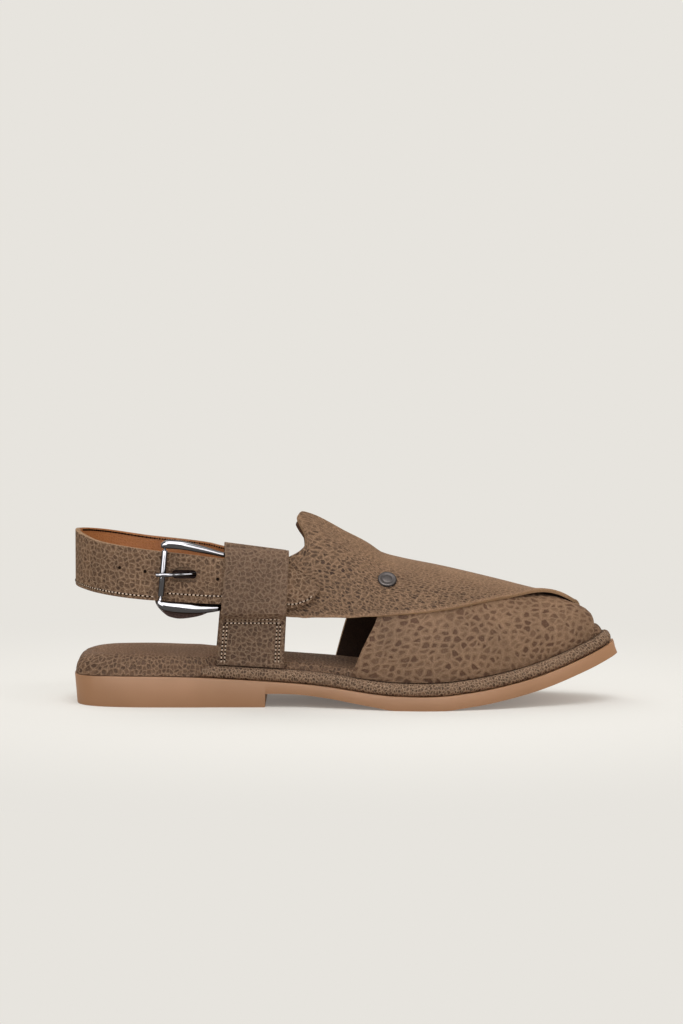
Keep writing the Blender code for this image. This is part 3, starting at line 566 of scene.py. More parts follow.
# The last: how far its foot line lies inside the outline, and each section's ridge and fullness.
# Columns: x, inset, ridge, ridge_y, bulge, power.
LAST = (
    (-75.0, 4.9, 117.0, 0.0, 3.6, 3.0), (-50.0, 4.9, 112.0, 0.0, 3.5, 2.9),
    (-31.0, 5.2, 106.0, 0.0, 3.4, 2.4), (-20.0, 5.8, 100.5, 0.0, 3.2, 2.1),
    (-10.0, 6.2, 94.4, 0.0, 3.0, 2.05), (0.0, 6.4, 88.0, 0.2, 2.8, 2.05), (9.0, 6.4, 81.8, 0.6, 2.5, 2.1),
    (18.0, 6.4, 75.2, 1.0, 2.2, 2.1), (28.0, 6.4, 72.4, 1.5, 2.0, 2.15), (50.0, 6.4, 67.8, 2.4, 1.8, 2.2),
    (79.0, 6.4, 60.9, 2.8, 1.6, 2.2), (99.0, 6.4, 55.9, 2.8, 1.3, 2.2), (110.0, 6.4, 53.6, 2.6, 1.0, 2.2),
    (118.0, 6.4, 50.9, 2.4, 0.8, 2.2), (124.0, 6.4, 48.4, 2.2, 0.6, 2.2), (127.0, 6.4, 46.6, 2.1, 0.5, 2.2),
    (129.5, 6.4, 43.6, 2.0, 0.4, 2.2), (131.0, 6.4, 40.6, 2.0, 0.4, 2.2),
)
# Each strap rises from the foot line of one side (girth 1) to the ridge (girth 0).
# Columns: girth, front, rear.
UNDER_RISE = (
    (1.0, 129.4, 2.6), (0.93, 129.6, 5.6), (0.85, 129.8, 8.9), (0.78, 129.9, 11.8), (0.7, 129.9, 14.8),
    (0.6, 129.9, 16.8), (0.45, 129.8, 17.6), (0.22, 129.4, 18.0), (0.0, 128.4, 18.2),
)
# Columns: girth, front, rear.
OVER_RISE = (
    (1.0, 124.5, -6.4), (0.85, 124.8, -1.6), (0.7, 124.6, 3.0), (0.45, 123.6, 9.6), (0.22, 122.2, 14.4),
    (0.0, 120.2, 18.2),
)

# Past the ridge it runs back as a wing: heights of its lower and upper edge on the last.
# Columns: low_x, low, top_x, top.
WING = (
    (104.0, 54.2, 14.4, 77.4), (90.0, 54.6, 7.6, 82.4), (76.8, 53.9, -3.4, 88.6), (63.0, 52.0, -13.4, 94.4),
    (50.0, 50.3, -21.4, 98.2), (35.0, 49.0, -25.8, 99.4), (20.0, 48.0, -27.4, 97.2),
    (5.0, 47.5, -25.6, 93.0), (-8.0, 47.4, -23.2, 88.6), (-18.0, 47.4, -22.8, 84.6),
    (-25.0, 47.5, -25.4, 81.4), (-31.0, 48.0, -31.4, 78.2), (-40.0, 50.2, -40.0, 76.4),
    (-49.0, 52.0, -49.0, 75.4), (-58.6, 53.6, -58.6, 74.8),
)
MEDIAL_WING_DROP = 5.2
MEDIAL_WING_DROP_X = (-31.0, -9.0)
STRAP_WALL = 1.8
CROSSING_GIRTH = 0.45
OVER_BASE_OFFSET = 0.1
TOE_LIFT = 2.2
TOE_LIFT_FROM = 86.0
TOE_LIFT_TO = 121.0
TOE_LIFT_SHARE = 0.8
last_inset, last_ridge, last_ridge_y, last_bulge, last_power = curves_of(LAST)


def foot_station(x):
    """The outsole station whose platform top lies at x, because the toe's layers lean back."""
    station = x
    for _ in range(4):
        station = x + (platform_height(station) + STRAP_SEAT) * math.sin(sole_tilt(station))
    return station


def last_point(x, girth, side):
    """A point on the last: girth 0 is the ridge and 1 the foot line of that side."""
    station = foot_station(x)
    half = outline[side](station) - last_inset(x) - side * last_ridge_y(x)
    base = over_sole(station, 0, platform_height(station) + STRAP_SEAT)[2]
    angle = math.radians(90 * min(max(girth, 0.0), 1.0))
    power = 2 / last_power(x)
    rise = math.cos(angle) ** power if girth < 1 else 0.0
    y = half * math.sin(angle) ** power + last_bulge(x) * math.sin(math.pi * rise)
    return Vector((x, last_ridge_y(x) + side * y, base + (last_ridge(x) - base) * rise))


def on_last(x, girth, side, offset):
    """The last's point moved outwards square to its surface."""
    step = 0.004
    along = last_point(x + 0.4, girth, side) - last_point(x - 0.4, girth, side)
    low = min(girth + step, 1.0)
    high = girth - step
    if high < 0:
        up = last_point(x, -high, -side) - last_point(x, low, side)
    else:
        up = last_point(x, high, side) - last_point(x, low, side)
    normal = along.cross(up).normalized()
    if normal.y * side < 0 and girth > 0.2:
        normal.negate()
    if girth <= 0.2 and normal.z < 0:
        normal.negate()
    return last_point(x, girth, side) + offset * normal


def girth_at(x, z, side):
    """The girth at which the last has the height z."""
    base = last_point(x, 1.0, side).z
    rise = min(max((z - base) / (last_ridge(x) - base), 0.0), 1.0)
    return math.degrees(math.acos(rise ** (last_power(x) / 2))) / 90


def beside_last(x, z, side, offset):
    """The plan distance from the centre line to a layer that lies outside the last's wall."""
    return abs(last_point(x, girth_at(x, z, side), side).y) + offset


def crease(x, girth, line):
    """How deep one soft crease is at a place: line gives its ends, half width and depth."""
    (x0, g0), (x1, g1), half, depth = line
    run = Vector(((x1 - x0), (g1 - g0) * 60.0))
    here = Vector((x - x0, (girth - g0) * 60.0))
    share = min(max(here.dot(run) / run.length_squared, 0.0), 1.0)
    away = (here - run * share).length
    return depth * math.exp(-((away / half) ** 2)) * math.sin(math.pi * (0.15 + 0.7 * share))


def strap_rows(rise, side):
    """The strap's rows from its own foot line over the ridge to the wing's end, each finely stepped."""
    front, rear = curves_of(rise)
    rows = [(side, girth, front(girth), girth, rear(girth)) for girth in spread(1.0, 0.0, 30)]
    wing = [(0.0, 0.0, front(0.0), 0.0, rear(0.0))]
    for low_x, low, top_x, top in WING:
        if side == LATERAL:
            top -= MEDIAL_WING_DROP * (1 - ease(top_x, *MEDIAL_WING_DROP_X))
        wing.append((
            float(len(wing)), girth_at(low_x, low, -side), low_x, girth_at(top_x, top, -side), top_x
        ))
    curves = curves_of(wing)
    for step in range(1, (len(wing) - 1) * 4 + 1):
        rows.append((-side, *[value(step / 4) for value in curves]))
    return rows


def strap_slab(rise, side, lift, sink_to, creases, feel):
    rows = strap_rows(rise, side)

    def place(index, part, level):
        turn, low_girth, low_x, top_girth, top_x = rows[index]
        x = between(low_x, top_x, part)
        girth = between(low_girth, top_girth, part)
        bottom = lift
        if turn == side:
            bottom = sink_to + (lift - sink_to) * (1 - ease(girth, CROSSING_GIRTH, 1.0))
        elif lift > 0:
            along = (x - TOE_LIFT_FROM) / (TOE_LIFT_TO - TOE_LIFT_FROM)
            near_toe = math.sin(math.pi * min(max(along, 0), 1))
            bottom += TOE_LIFT * near_toe * ease(1 - part, TOE_LIFT_SHARE, 1.0)
        signed = girth if turn == MEDIAL else -girth
        fold = sum(crease(x, signed, line) for line in creases)
        return on_last(x, girth, turn, bottom + STRAP_WALL * level + fold)

    def felt(index, part, level):
        turn, low_girth, low_x, top_girth, top_x = rows[index]
        x = between(low_x, top_x, part)
        grain, tone = feel(x, between(low_girth, top_girth, part), turn, part)
        # The raw inner face of the far wing's peak is paler than the rest of the lining, whose dark is
        # painted shade.
        if level == 0 and turn == -side == MEDIAL:
            tone += 2.4 * ease(part, 0.5, 0.8)
        return grain, tone

    return slab(list(range(len(rows))), spread(0, 1, 48), (0, 1), place, felt)


def under_feel(x, girth, turn, part):
    """Grain all over, with painted shade along the bead where the strap meets it."""
    return 1.0, 0.5 - 0.1 * ease(girth, 0.93, 1.0)


def over_feel(x, girth, turn, part):
    """Coarse grain low down, which the last has pulled smooth towards the ridge, where a painted sheen makes
    it lighter.
    """
    ridge = 1 - ease(girth, 0.1, 0.5)
    front = ease(x, 40.0, 110.0)
    edge = ease(1 - part, 0.965, 0.985) if turn == LATERAL else 0.0
    grain = 1.0 - 0.7 * ridge - 0.25 * front * (1 - ridge)
    # The 0.04 * ridge lift in tone is a painted sheen.
    return grain * (1 - 0.8 * edge), 0.5 + 0.04 * ridge + 0.22 * edge


# Each crease: its two ends as (x, girth, minus on the outer side), half width and depth.
OVER_CREASES = (
    ((6.0, -0.25), (34.0, -0.5), 2.6, -0.35),
    ((-6.0, -0.3), (22.0, -0.62), 3.0, -0.3),
    ((-16.0, -0.35), (4.0, -0.7), 3.2, -0.3),
    ((22.0, -0.1), (60.0, -0.3), 3.4, -0.25),
    ((14.0, -0.2), (46.0, -0.42), 3.0, 0.25),
)
UNDER_CREASES = (
    ((20.0, -0.95), (60.0, -0.85), 3.0, -0.3),
    ((70.0, -0.95), (112.0, -0.8), 3.0, -0.25),
    ((16.0, -0.75), (30.0, -0.6), 2.6, 0.2),
)
under_leather = leather(
    "polygon_grain_nubuck", ("7f634c", "503626", "967a62"), 4.3, 1.0, 0.5, 0.3, 0.76, turn=1.57, stretch=1.12,
    size=(-0.02, 0.2),
)
over_leather = leather(
    "pebbled_nubuck", ("82654d", "342218", "ab8c71"), 2.7, 1.0, 0.6, 0.6, 0.72, turn=-0.6, stretch=1.25,
    size=(-0.04, 0.16),
)
# The lining's dark brown is painted shade: it is set far darker than the leather itself to stand for the
# shade inside the upper.
shaded_suede = leather("suede_lining_dark_as_painted_shade", ("3a281d", "22160f", "4a3527"), 1.2, 0.4, 0.2, 0.1, 0.9)
cut_edge = leather("cut_leather_edge", ("937559", "5d4530", "a68a6c"), 0.9, 0.5, 0.2, 0.1, 0.8)
new_piece(
    "under_strap", strap_slab(UNDER_RISE, LATERAL, 0.0, 0.0, UNDER_CREASES, under_feel),
    [under_leather, shaded_suede, cut_edge], ["crossed_upper"], bevel=0.35,
)
new_piece(
    "over_strap",
    strap_slab(OVER_RISE, MEDIAL, STRAP_WALL + 0.1, OVER_BASE_OFFSET, OVER_CREASES, over_feel),
    [over_leather, shaded_suede, cut_edge], ["crossed_upper"], bevel=0.35,
)

# The keepers are folded strips of the same leather, greyer from finishing. Both legs are sewn to
# each other under the slot, with a double row across and a double row down each side.
# A keeper is a hairpin of leather: both legs stand on the platform and the fold is on top.
KEEPER_WALL = 1.3
KEEPER_SEAM_Z = 45.5
KEEPER_OPEN_Z = 50.5
KEEPER_FOLD = 7.1
KEEPER_SUPERELLIPSE = 2.4
KEEPER_LEAN = 0.12
KEEPER_LEG_ROWS = 10
KEEPER_FOLD_ROWS = 8
LATERAL_KEEPER = {
    "side": LATERAL, "rear_foot": -68.6, "rear_top": -64.0, "front_foot": -33.4, "front_top": -30.6,
    "top_rear": 84.6, "top_front": 82.6, "inner": -2.75, "outer": 8.1,
}
MEDIAL_KEEPER = {
    "side": MEDIAL, "rear_foot": -70.6, "rear_top": -66.0, "front_foot": -35.4, "front_top": -32.6,
    "top_rear": 81.6, "top_front": 77.6, "inner": -1.8, "outer": 7.4,
}
KEEPER_FOOT_INNER = 0.35
KEEPER_FOOT_OUTER = 1.95
KEEPER_FOOT_Z = 22.0
KEEPER_LEG_HEIGHT = 56.0
KEEPER_CROSS_ROWS = (46.6, 44.6)
KEEPER_SIDE_ROWS = (0.06, 0.11, 0.87, 0.92)
STITCH_PITCH = 2.1


def keeper_slab(keeper):
    side = keeper["side"]
    path = [("inner", share) for share in spread(0, 1, KEEPER_LEG_ROWS * 3)]
    path += [("fold", share) for share in spread(0, 1, KEEPER_FOLD_ROWS * 3)[1:-1]]
    path += [("outer", share) for share in spread(1, 0, KEEPER_LEG_ROWS * 3)]

    def leg_offset(name, z):
        foot = KEEPER_FOOT_INNER if name == "inner" else KEEPER_FOOT_OUTER
        return between(foot, keeper[name], ease(z, KEEPER_SEAM_Z, KEEPER_OPEN_Z))

    def place(index, part, level):
        name, share = path[index]
        x_foot = between(keeper["rear_foot"], keeper["front_foot"], part)
        x_top = between(keeper["rear_top"], keeper["front_top"], part)
        top = between(keeper["top_rear"], keeper["top_front"], part)
        fold_z = top - KEEPER_FOLD
        wall = KEEPER_WALL * (level - 0.5)
        if name == "fold":
            angle = math.pi * share
            middle = (keeper["inner"] + keeper["outer"]) / 2
            reach = (keeper["outer"] - keeper["inner"]) / 2
            bend = 2 / KEEPER_SUPERELLIPSE
            out_part = -math.cos(angle)
            up_part = math.sin(angle)
            offset = middle + math.copysign(abs(out_part) ** bend, out_part) * (reach + wall)
            z = fold_z + (KEEPER_FOLD - KEEPER_WALL / 2 + wall) * abs(up_part) ** bend
            y = beside_last(x_top, fold_z, side, offset)
            lean = (z - fold_z) * KEEPER_LEAN
            return (x_top, side * (y - lean), z)
        foot = last_point(x_foot, 1.0, side).z
        z = between(foot, fold_z, share)
        x = between(x_foot, x_top, share)
        offset = leg_offset(name, z) + (wall if name == "outer" else -wall)
        return (x, side * beside_last(x, z, side, offset), z)

    def feel(index, part, level):
        name, share = path[index]
        z = KEEPER_FOOT_Z + 54.0 * share if name != "fold" else 76.0
        seam = math.exp(-(((z - KEEPER_SEAM_Z) / 1.6) ** 2))
        return 1.0 - 0.25 * ease(z, 46.0, 56.0), 0.5 - 0.04 * seam

    return slab(list(range(len(path))), spread(0, 1, 16), (0, 1), place, feel)


def stitch_row(threads, holes, places, pitch, lift=0.1, thread=0.34):
    """Sews along a surface: places gives a point in millimetres for 0 to 1, with its normal."""
    length = sum((places(i / 40 + 0.025)[0] - places(i / 40)[0]).length for i in range(40))
    count = max(2, round(length / pitch))
    for i in range(count):
        here, normal = places((i + 0.5) / count)
        ahead = places(min((i + 0.9) / count, 1.0))[0]
        run = (ahead - here).normalized()
        side = normal.cross(run).normalized()
        turn = Matrix((run, side, normal)).transposed().to_4x4()
        grow = Matrix.Diagonal((pitch * 0.33, thread, thread * 0.7, 1))
        stitch = Matrix.Translation(here + normal * lift) @ turn @ grow
        bmesh.ops.create_uvsphere(threads, u_segments=8, v_segments=5, radius=1.0, matrix=stitch)
        pit = places(i / count)
        hole = Matrix.Translation(pit[0] + pit[1] * 0.05) @ turn @ Matrix.Diagonal((0.56, 0.56, 0.3, 1))
        bmesh.ops.create_uvsphere(holes, u_segments=8, v_segments=5, radius=1.0, matrix=hole)


def outer_leg(keeper, x, z):
    """A point on the outer face of a keeper's outer leg."""
    side = keeper["side"]
    offset = between(KEEPER_FOOT_OUTER, keeper["outer"], ease(z, KEEPER_SEAM_Z, KEEPER_OPEN_Z))
    return Vector((x, side * (beside_last(x, z, side, offset) + KEEPER_WALL / 2), z))


def keeper_stitches(keeper, threads, holes):
    """The rows across a keeper's outer leg and down its sides."""

    def on_leg(x_share, z):
        x_foot = between(keeper["rear_foot"], keeper["front_foot"], x_share)
        x_top = between(keeper["rear_top"], keeper["front_top"], x_share)
        x = between(x_foot, x_top, (z - KEEPER_FOOT_Z) / KEEPER_LEG_HEIGHT)
        return outer_leg(keeper, x, z), Vector((0, keeper["side"], 0))

    for z in KEEPER_CROSS_ROWS:
        stitch_row(threads, holes, lambda t, z=z: on_leg(0.08 + 0.84 * t, z), STITCH_PITCH)
    for x_share in KEEPER_SIDE_ROWS:
        stitch_row(threads, holes, lambda t, x_share=x_share: on_leg(x_share, 43.6 - 20.5 * t), STITCH_PITCH)


keeper_leather = leather(
    "milled_keeper_leather", ("6f5745", "453126", "98806a"), 2.7, 0.9, 0.65, 0.4, 0.78, size=(-0.06, 0.14)
)
thread_bm = bmesh.new()
hole_bm = bmesh.new()
for keeper, name in ((LATERAL_KEEPER, "lateral"), (MEDIAL_KEEPER, "medial")):
    new_piece(
        name + "_keeper_loop", keeper_slab(keeper), [keeper_leather, shaded_suede, cut_edge],
        [name + "_keeper"], bevel=0.3,
    )
    keeper_stitches(keeper, thread_bm, hole_bm)

# The heel strap is lined with smooth orange-tan calf. It is sewn into the inner keeper, runs
# round the heel and under the roller, and its point comes out of the outer keeper.
# Columns: along, low, top.
HEEL_STRAP = (
    (0.0, 54.5, 74.2), (0.09, 55.9, 79.2), (0.12, 56.4, 81.4), (0.22, 58.6, 85.0), (0.34, 61.0, 89.2),
    (0.42, 62.2, 90.8), (0.5, 62.4, 91.6), (0.58, 61.6, 90.2), (0.66, 59.8, 87.2), (0.76, 57.4, 84.2),
    (0.86, 55.4, 80.0), (0.93, 54.4, 75.8), (0.965, 53.0, 73.2), (0.985, 55.2, 69.6), (1.0, 61.8, 64.6),
)
HEEL_WALL = 2.4
HEEL_BACK_X = -143.2
HEEL_BOW_X = -100.0
HEEL_BOW_HALF = 32.4
HEEL_BOW_POWER = 2.3
HEEL_MEDIAL_END_X = -38.0
HEEL_TIP_X = -14.4
HEEL_LATERAL_OFFSET = 5.5
HEEL_MEDIAL_OFFSET = 3.7
HEEL_SPREAD_X = -68.0
HEEL_LAST_END_X = -75.0
HEEL_END_SHARE = 0.2
HEEL_STATIONS = (
    tuple(i / 40 for i in range(9))
    + tuple(0.2 + 0.6 * i / 22 for i in range(1, 23))
    + tuple(0.8 + 0.16 * i / 8 for i in range(1, 9))
    + (0.97, 0.98, 0.99, 1.0)
)


def heel_path(along, z):
    """The heel strap's middle line in plan, at the height z, from 0 (medial end) to 1 (point)."""
    if along < HEEL_END_SHARE or along > 1 - HEEL_END_SHARE:
        medial = along < HEEL_END_SHARE
        side = MEDIAL if medial else LATERAL
        start = HEEL_MEDIAL_END_X if medial else HEEL_TIP_X
        share = (along if medial else 1 - along) / HEEL_END_SHARE
        x = between(start, HEEL_BOW_X, share)
        offset = HEEL_MEDIAL_OFFSET if medial else HEEL_LATERAL_OFFSET
        near = beside_last(max(x, HEEL_LAST_END_X), z, side, offset)
        free = ease(-x, -HEEL_SPREAD_X, -HEEL_BOW_X)
        return x, side * between(near, HEEL_BOW_HALF, free)
    angle = math.pi * (along - HEEL_END_SHARE) / (1 - 2 * HEEL_END_SHARE)
    bend = 2 / HEEL_BOW_POWER
    x = HEEL_BOW_X - (HEEL_BOW_X - HEEL_BACK_X) * abs(math.sin(angle)) ** bend
    y = HEEL_BOW_HALF * math.copysign(abs(math.cos(angle)) ** bend, math.cos(angle))
    return x, y


def heel_place(along, part, level):
    z = between(heel_low(along), heel_top(along), part)
    step = 0.002
    before = heel_path(max(along - step, 0), z)
    after = heel_path(min(along + step, 1), z)
    run = Vector((after[0] - before[0], after[1] - before[1], 0)).normalized()
    x, y = heel_path(along, z)
    outwards = Vector((run.y, -run.x, 0))
    if outwards.dot(Vector((x - HEEL_SPREAD_X if x < HEEL_BOW_X else 0, y, 0))) < 0:
        outwards.negate()
    return Vector((x, y, z)) + HEEL_WALL * (level - 0.5) * outwards


heel_low, heel_top = curves_of(HEEL_STRAP)
# The roller buckle.
BAR_X = -61.0
BAR_RADIUS = 1.2
BAR_OFFSET = 1.6
BAR_MIDDLE_Z = 66.0
ROLLER_RADIUS = 1.6
ROLLER_SEAT = 0.8
ROLLER_BORE = 1.0
ROLLER_PIN = 0.7
ROLLER_TOP = (-95.6, 84.0)
ROLLER_FOOT = (-97.8, 58.4)
# Columns: x, z, radius.
FRAME = (
    (BAR_X, 66.5, BAR_RADIUS), (BAR_X, 78.4, BAR_RADIUS), (-63.0, 80.2, 1.2), (-67.0, 81.2, 1.3),
    (-77.0, 83.8, 2.0), (-88.0, 86.1, 2.4), (-93.6, 86.5, 2.4), (-96.2, 85.7, 1.6),
    (ROLLER_TOP[0], ROLLER_TOP[1], ROLLER_PIN), (ROLLER_FOOT[0], ROLLER_FOOT[1], ROLLER_PIN),
    (-98.4, 56.2, 1.5), (-96.4, 54.2, 2.5), (-88.0, 52.9, 2.9), (-77.0, 52.3, 2.6), (-67.0, 52.7, 1.6),
    (-63.0, 53.2, 1.2), (BAR_X, 54.8, BAR_RADIUS),
)
PRONG_Z = 70.6
PRONG_RADIUS = 1.1
# Columns: x, out.
PRONG = (
    (-63.7, 32.1), (-72.0, 32.8), (-78.0, 32.0), (-84.0, 34.0), (-90.0, 37.0), (-94.0, 38.8), (-97.4, 39.0),
    (-99.8, 38.1),
)
PRONG_SLOT = (-92.0, -79.0, 68.2, 73.0)
PRONG_SLOT_REACH = 8.0
ROLLER_END_GAP = 0.8
TAB_WALL = 1.3
TAB_OFFSET = -0.8
TAB_END_HALF = 29.0
# Columns: x, low, top.
TAB = (
    (-101.6, 58.5, 74.0), (-100.6, 54.5, 77.0), (-98.0, 51.0, 79.0), (-93.5, 47.6, 80.0),
    (-88.0, 46.6, 80.0), (-79.0, 47.8, 79.0), (-70.0, 51.0, 78.0), (-60.0, 53.4, 76.5), (-46.0, 54.5, 75.0),
)

TAB_FREE_X = (66.0, 95.0)
strap_leather = leather(
    "milled_strap_leather", ("775b45", "432d1d", "a58a70"), 2.7, 0.9, 0.7, 0.42, 0.76, size=(-0.06, 0.14)
)
lining = leather("orange_calf_lining", ("a86b3e", "8e5429", "b97d4e"), 1.6, 0.3, 0.15, 0.12, 0.5)
heel_bm = slab(finer(HEEL_STATIONS, 2), spread(0, 1, 12), (0, 0.5, 1), heel_place)
heel_piece = new_piece(
    "lined_heel_strap", heel_bm, [strap_leather, lining, cut_edge], ["heel_strap"], bevel=0.3
)
slot_bm = bmesh.new()
bmesh.ops.create_cube(slot_bm, size=1.0)
for corner in slot_bm.verts:
    corner.co.x = PRONG_SLOT[0] if corner.co.x < 0 else PRONG_SLOT[1]
    corner.co.y = -HEEL_BOW_HALF + math.copysign(PRONG_SLOT_REACH, corner.co.y)
    corner.co.z = PRONG_SLOT[2] if corner.co.z < 0 else PRONG_SLOT[3]
bmesh.ops.bevel(
    slot_bm, geom=[e for e in slot_bm.edges if abs(e.verts[0].co.y - e.verts[1].co.y) > 1], offset=2.0,
    offset_type="OFFSET", affect="EDGES", segments=5, profile=0.5, material=-1,
)
bmesh.ops.scale(slot_bm, vec=(MM, MM, MM), verts=slot_bm.verts)
slot_cutter = in_scene("slot_cutter", mesh_of("slot_cutter", slot_bm))
cut = heel_piece.modifiers.new("slot", "BOOLEAN")
cut.operation = "DIFFERENCE"
cut.object = slot_cutter
bpy.context.view_layer.update()
cut_mesh = bpy.data.meshes.new_from_object(heel_piece.evaluated_get(bpy.context.evaluated_depsgraph_get()))
heel_piece.modifiers.clear()
heel_piece.data = cut_mesh
bpy.data.objects.remove(slot_cutter)


def heel_row(start, end, rise, face=1):
    """A stitch line on one face of the heel strap, above its lower edge or, if minus, under its top."""

    def at(t):
        along = between(start, end, t)
        share = rise / (heel_top(along) - heel_low(along)) + (rise < 0)
        here = heel_place(along, share, face)
        return here, (here - heel_place(along, share, 1 - face)).normalized()

    return at


# Each stitch row: its start and end along the strap, its height and its face.
for start, end, rise, face in (
    (0.03, 0.798, 2.0, 1), (0.814, 0.883, 4.2, 1), (0.955, 0.992, 2.0, 1), (0.03, 0.46, -1.2, 0),
):
    stitch_row(thread_bm if face else hole_bm, hole_bm, heel_row(start, end, rise, face), STITCH_PITCH)
# The unused holes of the strap, as x and height, drawn as discs of painted shade.
for x, height in ((-119.7, 73.8), (-106.6, 72.0), (-68.4, 68.3)):
    share = next(a / 400 for a in range(240, 400) if heel_path(a / 400, height)[0] > x)
    along_part = (height - heel_low(share)) / (heel_top(share) - heel_low(share))
    point = heel_place(share, along_part, 1)
    normal = (point - heel_place(share, along_part, 0)).normalized()
    turn = Vector((0, 0, 1)).rotation_difference(normal).to_matrix().to_4x4()
    spot = Matrix.Translation(point) @ turn @ Matrix.Diagonal((0.9, 0.9, 0.15, 1))
    bmesh.ops.create_uvsphere(hole_bm, u_segments=12, v_segments=6, radius=1.0, matrix=spot)


def two_tone(name, scale, detail, first, second):
    """A finish whose colour wanders between two tones: its material, tree, shader and noise."""
    material, tree, shader, place = finish(name)
    cloud = noise(tree, place, scale, detail)
    tree.links.new(blend(tree, cloud, linear(first), linear(second)), shader.inputs["Base Color"])
    return material, tree, shader, cloud


# Waxed polyester thread: pale, twisted and slightly glossy.
waxed_thread, _, shader, _ = two_tone("waxed_thread", 900.0, 1.0, "8f745c", "bda285")
shader.inputs["Roughness"].default_value = 0.55
# Painted shade: the dark inside of a needle hole, drawn as a dark disc on the leather; the rows on the
# lining's face take it for their thread too.
needle_hole_shade, _, shader, _ = two_tone("needle_hole_shade", 700.0, 2.0, "140d09", "21160f")
shader.inputs["Roughness"].default_value = 0.95
shader.inputs["Specular IOR Level"].default_value = 0.0
new_piece("stitches", thread_bm, [waxed_thread])
new_piece("needle_holes", hole_bm, [needle_hole_shade])

# The buckle is die-cast, plated in black nickel and polished, with bowed arms, a turning roller
# and a prong, flat on the buckle but drawn as a round bar. A tongue of dark leather lies behind it against
# the foot.


def tab_place(x, part, level):
    z = between(tab_low(x), tab_top(x), part)
    near = beside_last(max(x, HEEL_LAST_END_X), z, LATERAL, TAB_OFFSET)
    y = near + (TAB_END_HALF - near) * ease(-x, *TAB_FREE_X)
    return (x, -(y + TAB_WALL * (level - 0.5)), z)


tab_low, tab_top = curves_of(TAB)
# The tab's dark brown is set darker still as painted shade, for where it lies in shadow behind the buckle.
tab_leather = leather("dark_tab_leather_and_painted_shade", ("453330", "2b1d17", "57443a"), 2.0, 0.5, 0.3, 0.2, 0.7)
tab_stations = finer([row[0] for row in TAB], 4)
new_piece(
    "leather_buckle_tab", slab(tab_stations, spread(0, 1, 10), (0, 1), tab_place), [tab_leather] * 3,
    ["buckle_tab"], bevel=0.3,
)


def frame_y(x):
    """The buckle's plane: inside the heel strap at its bar, outside it at its roller."""
    bar = beside_last(BAR_X, BAR_MIDDLE_Z, LATERAL, BAR_OFFSET)
    roller = HEEL_BOW_HALF + HEEL_WALL / 2 + ROLLER_SEAT + ROLLER_RADIUS
    share = (BAR_X - x) / (BAR_X - ROLLER_FOOT[0])
    return -(bar + (roller - bar) * share)


def tube_bmesh(points, radii, closed, flatten=1.0):
    """A round bar through points in millimetres: rings spun round the path and bridged."""
    bm = bmesh.new()
    rings = []
    count = len(points)
    for i, (point, radius) in enumerate(zip(points, radii)):
        before = points[i - 1] if closed or i else points[0]
        after = points[(i + 1) % count] if closed or i < count - 1 else points[-1]
        run = (after - before).normalized()
        out = Vector((0, -1, 0))
        side = run.cross(out).normalized()
        out = side.cross(run).normalized()
        turn = Matrix((side, out, run)).transposed().to_4x4()
        grow = Matrix.Diagonal((radius, radius * flatten, radius, 1))
        spot = Matrix.Translation(point) @ turn @ grow
        made = bmesh.ops.create_circle(bm, cap_ends=False, segments=16, radius=1.0, matrix=spot)
        rings.append(list({edge for vert in made["verts"] for edge in vert.link_edges}))
    for i in range(count if closed else count - 1):
        bmesh.ops.bridge_loops(bm, edges=rings[i] + rings[(i + 1) % count])
    if not closed:
        for ring in (rings[0], rings[-1]):
            bmesh.ops.contextual_create(bm, geom=ring)
    return bm


def smooth_path(rows, count):
    """count points read from a smooth curve through rows of x, y, z and radius."""
    curves = curves_of([(float(i), *row) for i, row in enumerate(rows)])
    spots = [t * (len(rows) - 1) / (count - 1) for t in range(count)]
    return [Vector([value(t) for value in curves[:3]]) for t in spots], [curves[3](t) for t in spots]


# Polished black nickel over zinc: near-black, mirror-like, with faint polishing haze.
metal, metal_tree, shader, haze = two_tone("black_nickel_plate", 260.0, 3.0, "4a494b", "575658")
metal_tree.links.new(remap(metal_tree, haze, 0.3, 0.7, 0.05, 0.1), shader.inputs["Roughness"])
shader.inputs["Metallic"].default_value = 1.0
frame_rows = [(x, frame_y(x), z, radius) for x, z, radius in FRAME]
frame_rows.append(frame_rows[0])
frame_path, frame_radii = smooth_path(frame_rows, 141)
new_piece(
    "polished_buckle_frame", tube_bmesh(frame_path[:-1], frame_radii[:-1], True, 0.85), [metal],
    ["buckle_frame"], sharp=60.0,
)
prong_rows = [(x, -out, PRONG_Z, PRONG_RADIUS) for x, out in PRONG]
prong_path, prong_radii = smooth_path(prong_rows, 40)
new_piece(
    "polished_buckle_prong", tube_bmesh(prong_path, prong_radii, False), [metal],
    ["buckle_prong"], sharp=50.0,
)
roller_foot = Vector((ROLLER_FOOT[0], frame_y(ROLLER_FOOT[0]), ROLLER_FOOT[1] + ROLLER_END_GAP))
roller_top = Vector((ROLLER_TOP[0], frame_y(ROLLER_TOP[0]), ROLLER_TOP[1] - ROLLER_END_GAP))
roller_bm = bmesh.new()
bmesh.ops.create_circle(roller_bm, cap_ends=False, segments=32, radius=ROLLER_RADIUS)
bmesh.ops.create_circle(roller_bm, cap_ends=False, segments=32, radius=ROLLER_BORE)
bmesh.ops.bridge_loops(roller_bm, edges=roller_bm.edges)
for item in bmesh.ops.extrude_face_region(roller_bm, geom=list(roller_bm.faces))["geom"]:
    if isinstance(item, bmesh.types.BMVert):
        item.co.z = (roller_top - roller_foot).length
roller_turn = Vector((0, 0, 1)).rotation_difference(roller_top - roller_foot).to_matrix()
bmesh.ops.rotate(roller_bm, matrix=roller_turn, verts=roller_bm.verts)
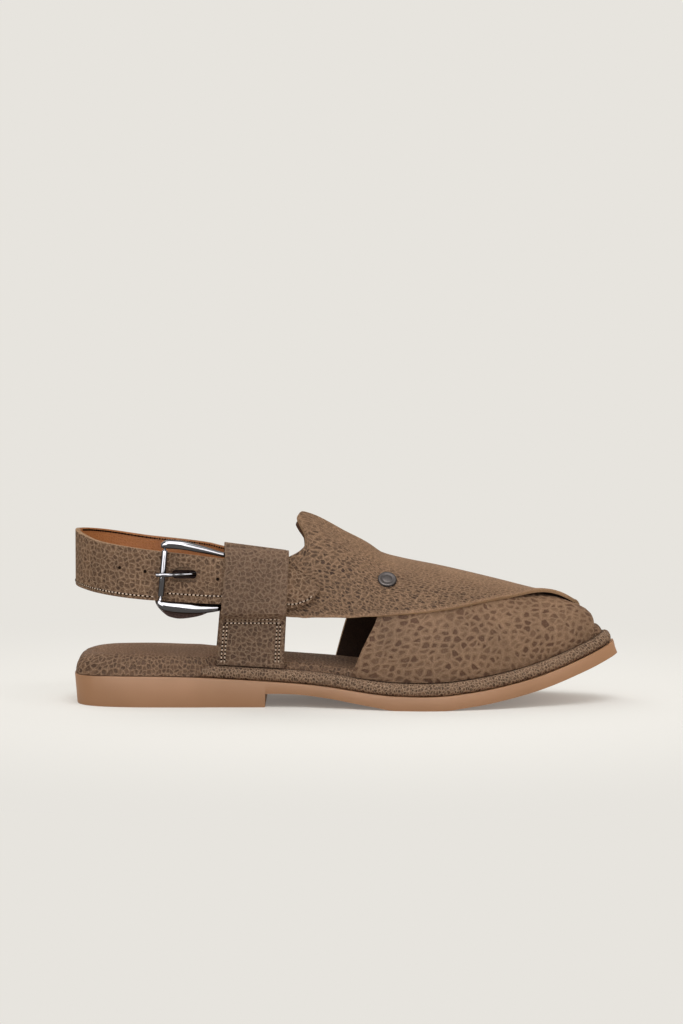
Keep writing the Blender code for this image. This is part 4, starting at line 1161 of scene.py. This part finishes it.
bmesh.ops.translate(roller_bm, vec=roller_foot, verts=roller_bm.verts)
new_piece(
    "polished_buckle_roller", roller_bm, [metal], ["buckle_roller"], bevel=0.2, sharp=50.0
)

# The side stud is a blackened rivet head: a low dome with a turned rim and one shallow ring.
STUD_X = 20.8
STUD_Z = 64.0
STUD_SEAT = 1.35
STUD_HEIGHT = 1.5
STUD_PROFILE = (
    (0.0, 1.25), (1.6, 1.2), (2.4, 1.1), (2.7, 0.98), (3.0, 1.1), (3.7, 1.2),
    (4.3, 1.3), (4.75, 1.15), (5.0, 0.75), (5.0, 0.0), (0.0, 0.0),
)


# Oxidised brass: dull charcoal, unevenly worn.
rivet, _, shader, _ = two_tone("blackened_rivet", 420.0, 4.0, "211f1f", "393432")
shader.inputs["Metallic"].default_value = 0.7
shader.inputs["Specular IOR Level"].default_value = 0.2
shader.inputs["Roughness"].default_value = 0.5
stud_girth = girth_at(STUD_X, STUD_Z, LATERAL)
stud_point = on_last(STUD_X, stud_girth, LATERAL, STRAP_WALL * 2 + 0.1)
stud_out = on_last(STUD_X, stud_girth, LATERAL, 1.0)
stud_normal = (stud_out - on_last(STUD_X, stud_girth, LATERAL, 0.0)).normalized()
stud_bm = bmesh.new()
profile = [stud_bm.verts.new((r, 0.0, h * STUD_HEIGHT / 1.3)) for r, h in STUD_PROFILE]
rim = [stud_bm.edges.new(pair) for pair in zip(profile, profile[1:])]
bmesh.ops.spin(
    stud_bm, geom=profile + rim, axis=(0, 0, 1), cent=(0, 0, 0), angle=math.tau, steps=48, use_merge=True
)
bmesh.ops.remove_doubles(stud_bm, verts=stud_bm.verts, dist=0.001)
stud_turn = Vector((0, 0, 1)).rotation_difference(stud_normal).to_matrix()
bmesh.ops.rotate(stud_bm, matrix=stud_turn, verts=stud_bm.verts)
bmesh.ops.translate(stud_bm, vec=stud_point + stud_normal * (STUD_SEAT - 1.3), verts=stud_bm.verts)
new_piece("rivet_head", stud_bm, [rivet], ["side_stud"], sharp=60.0)
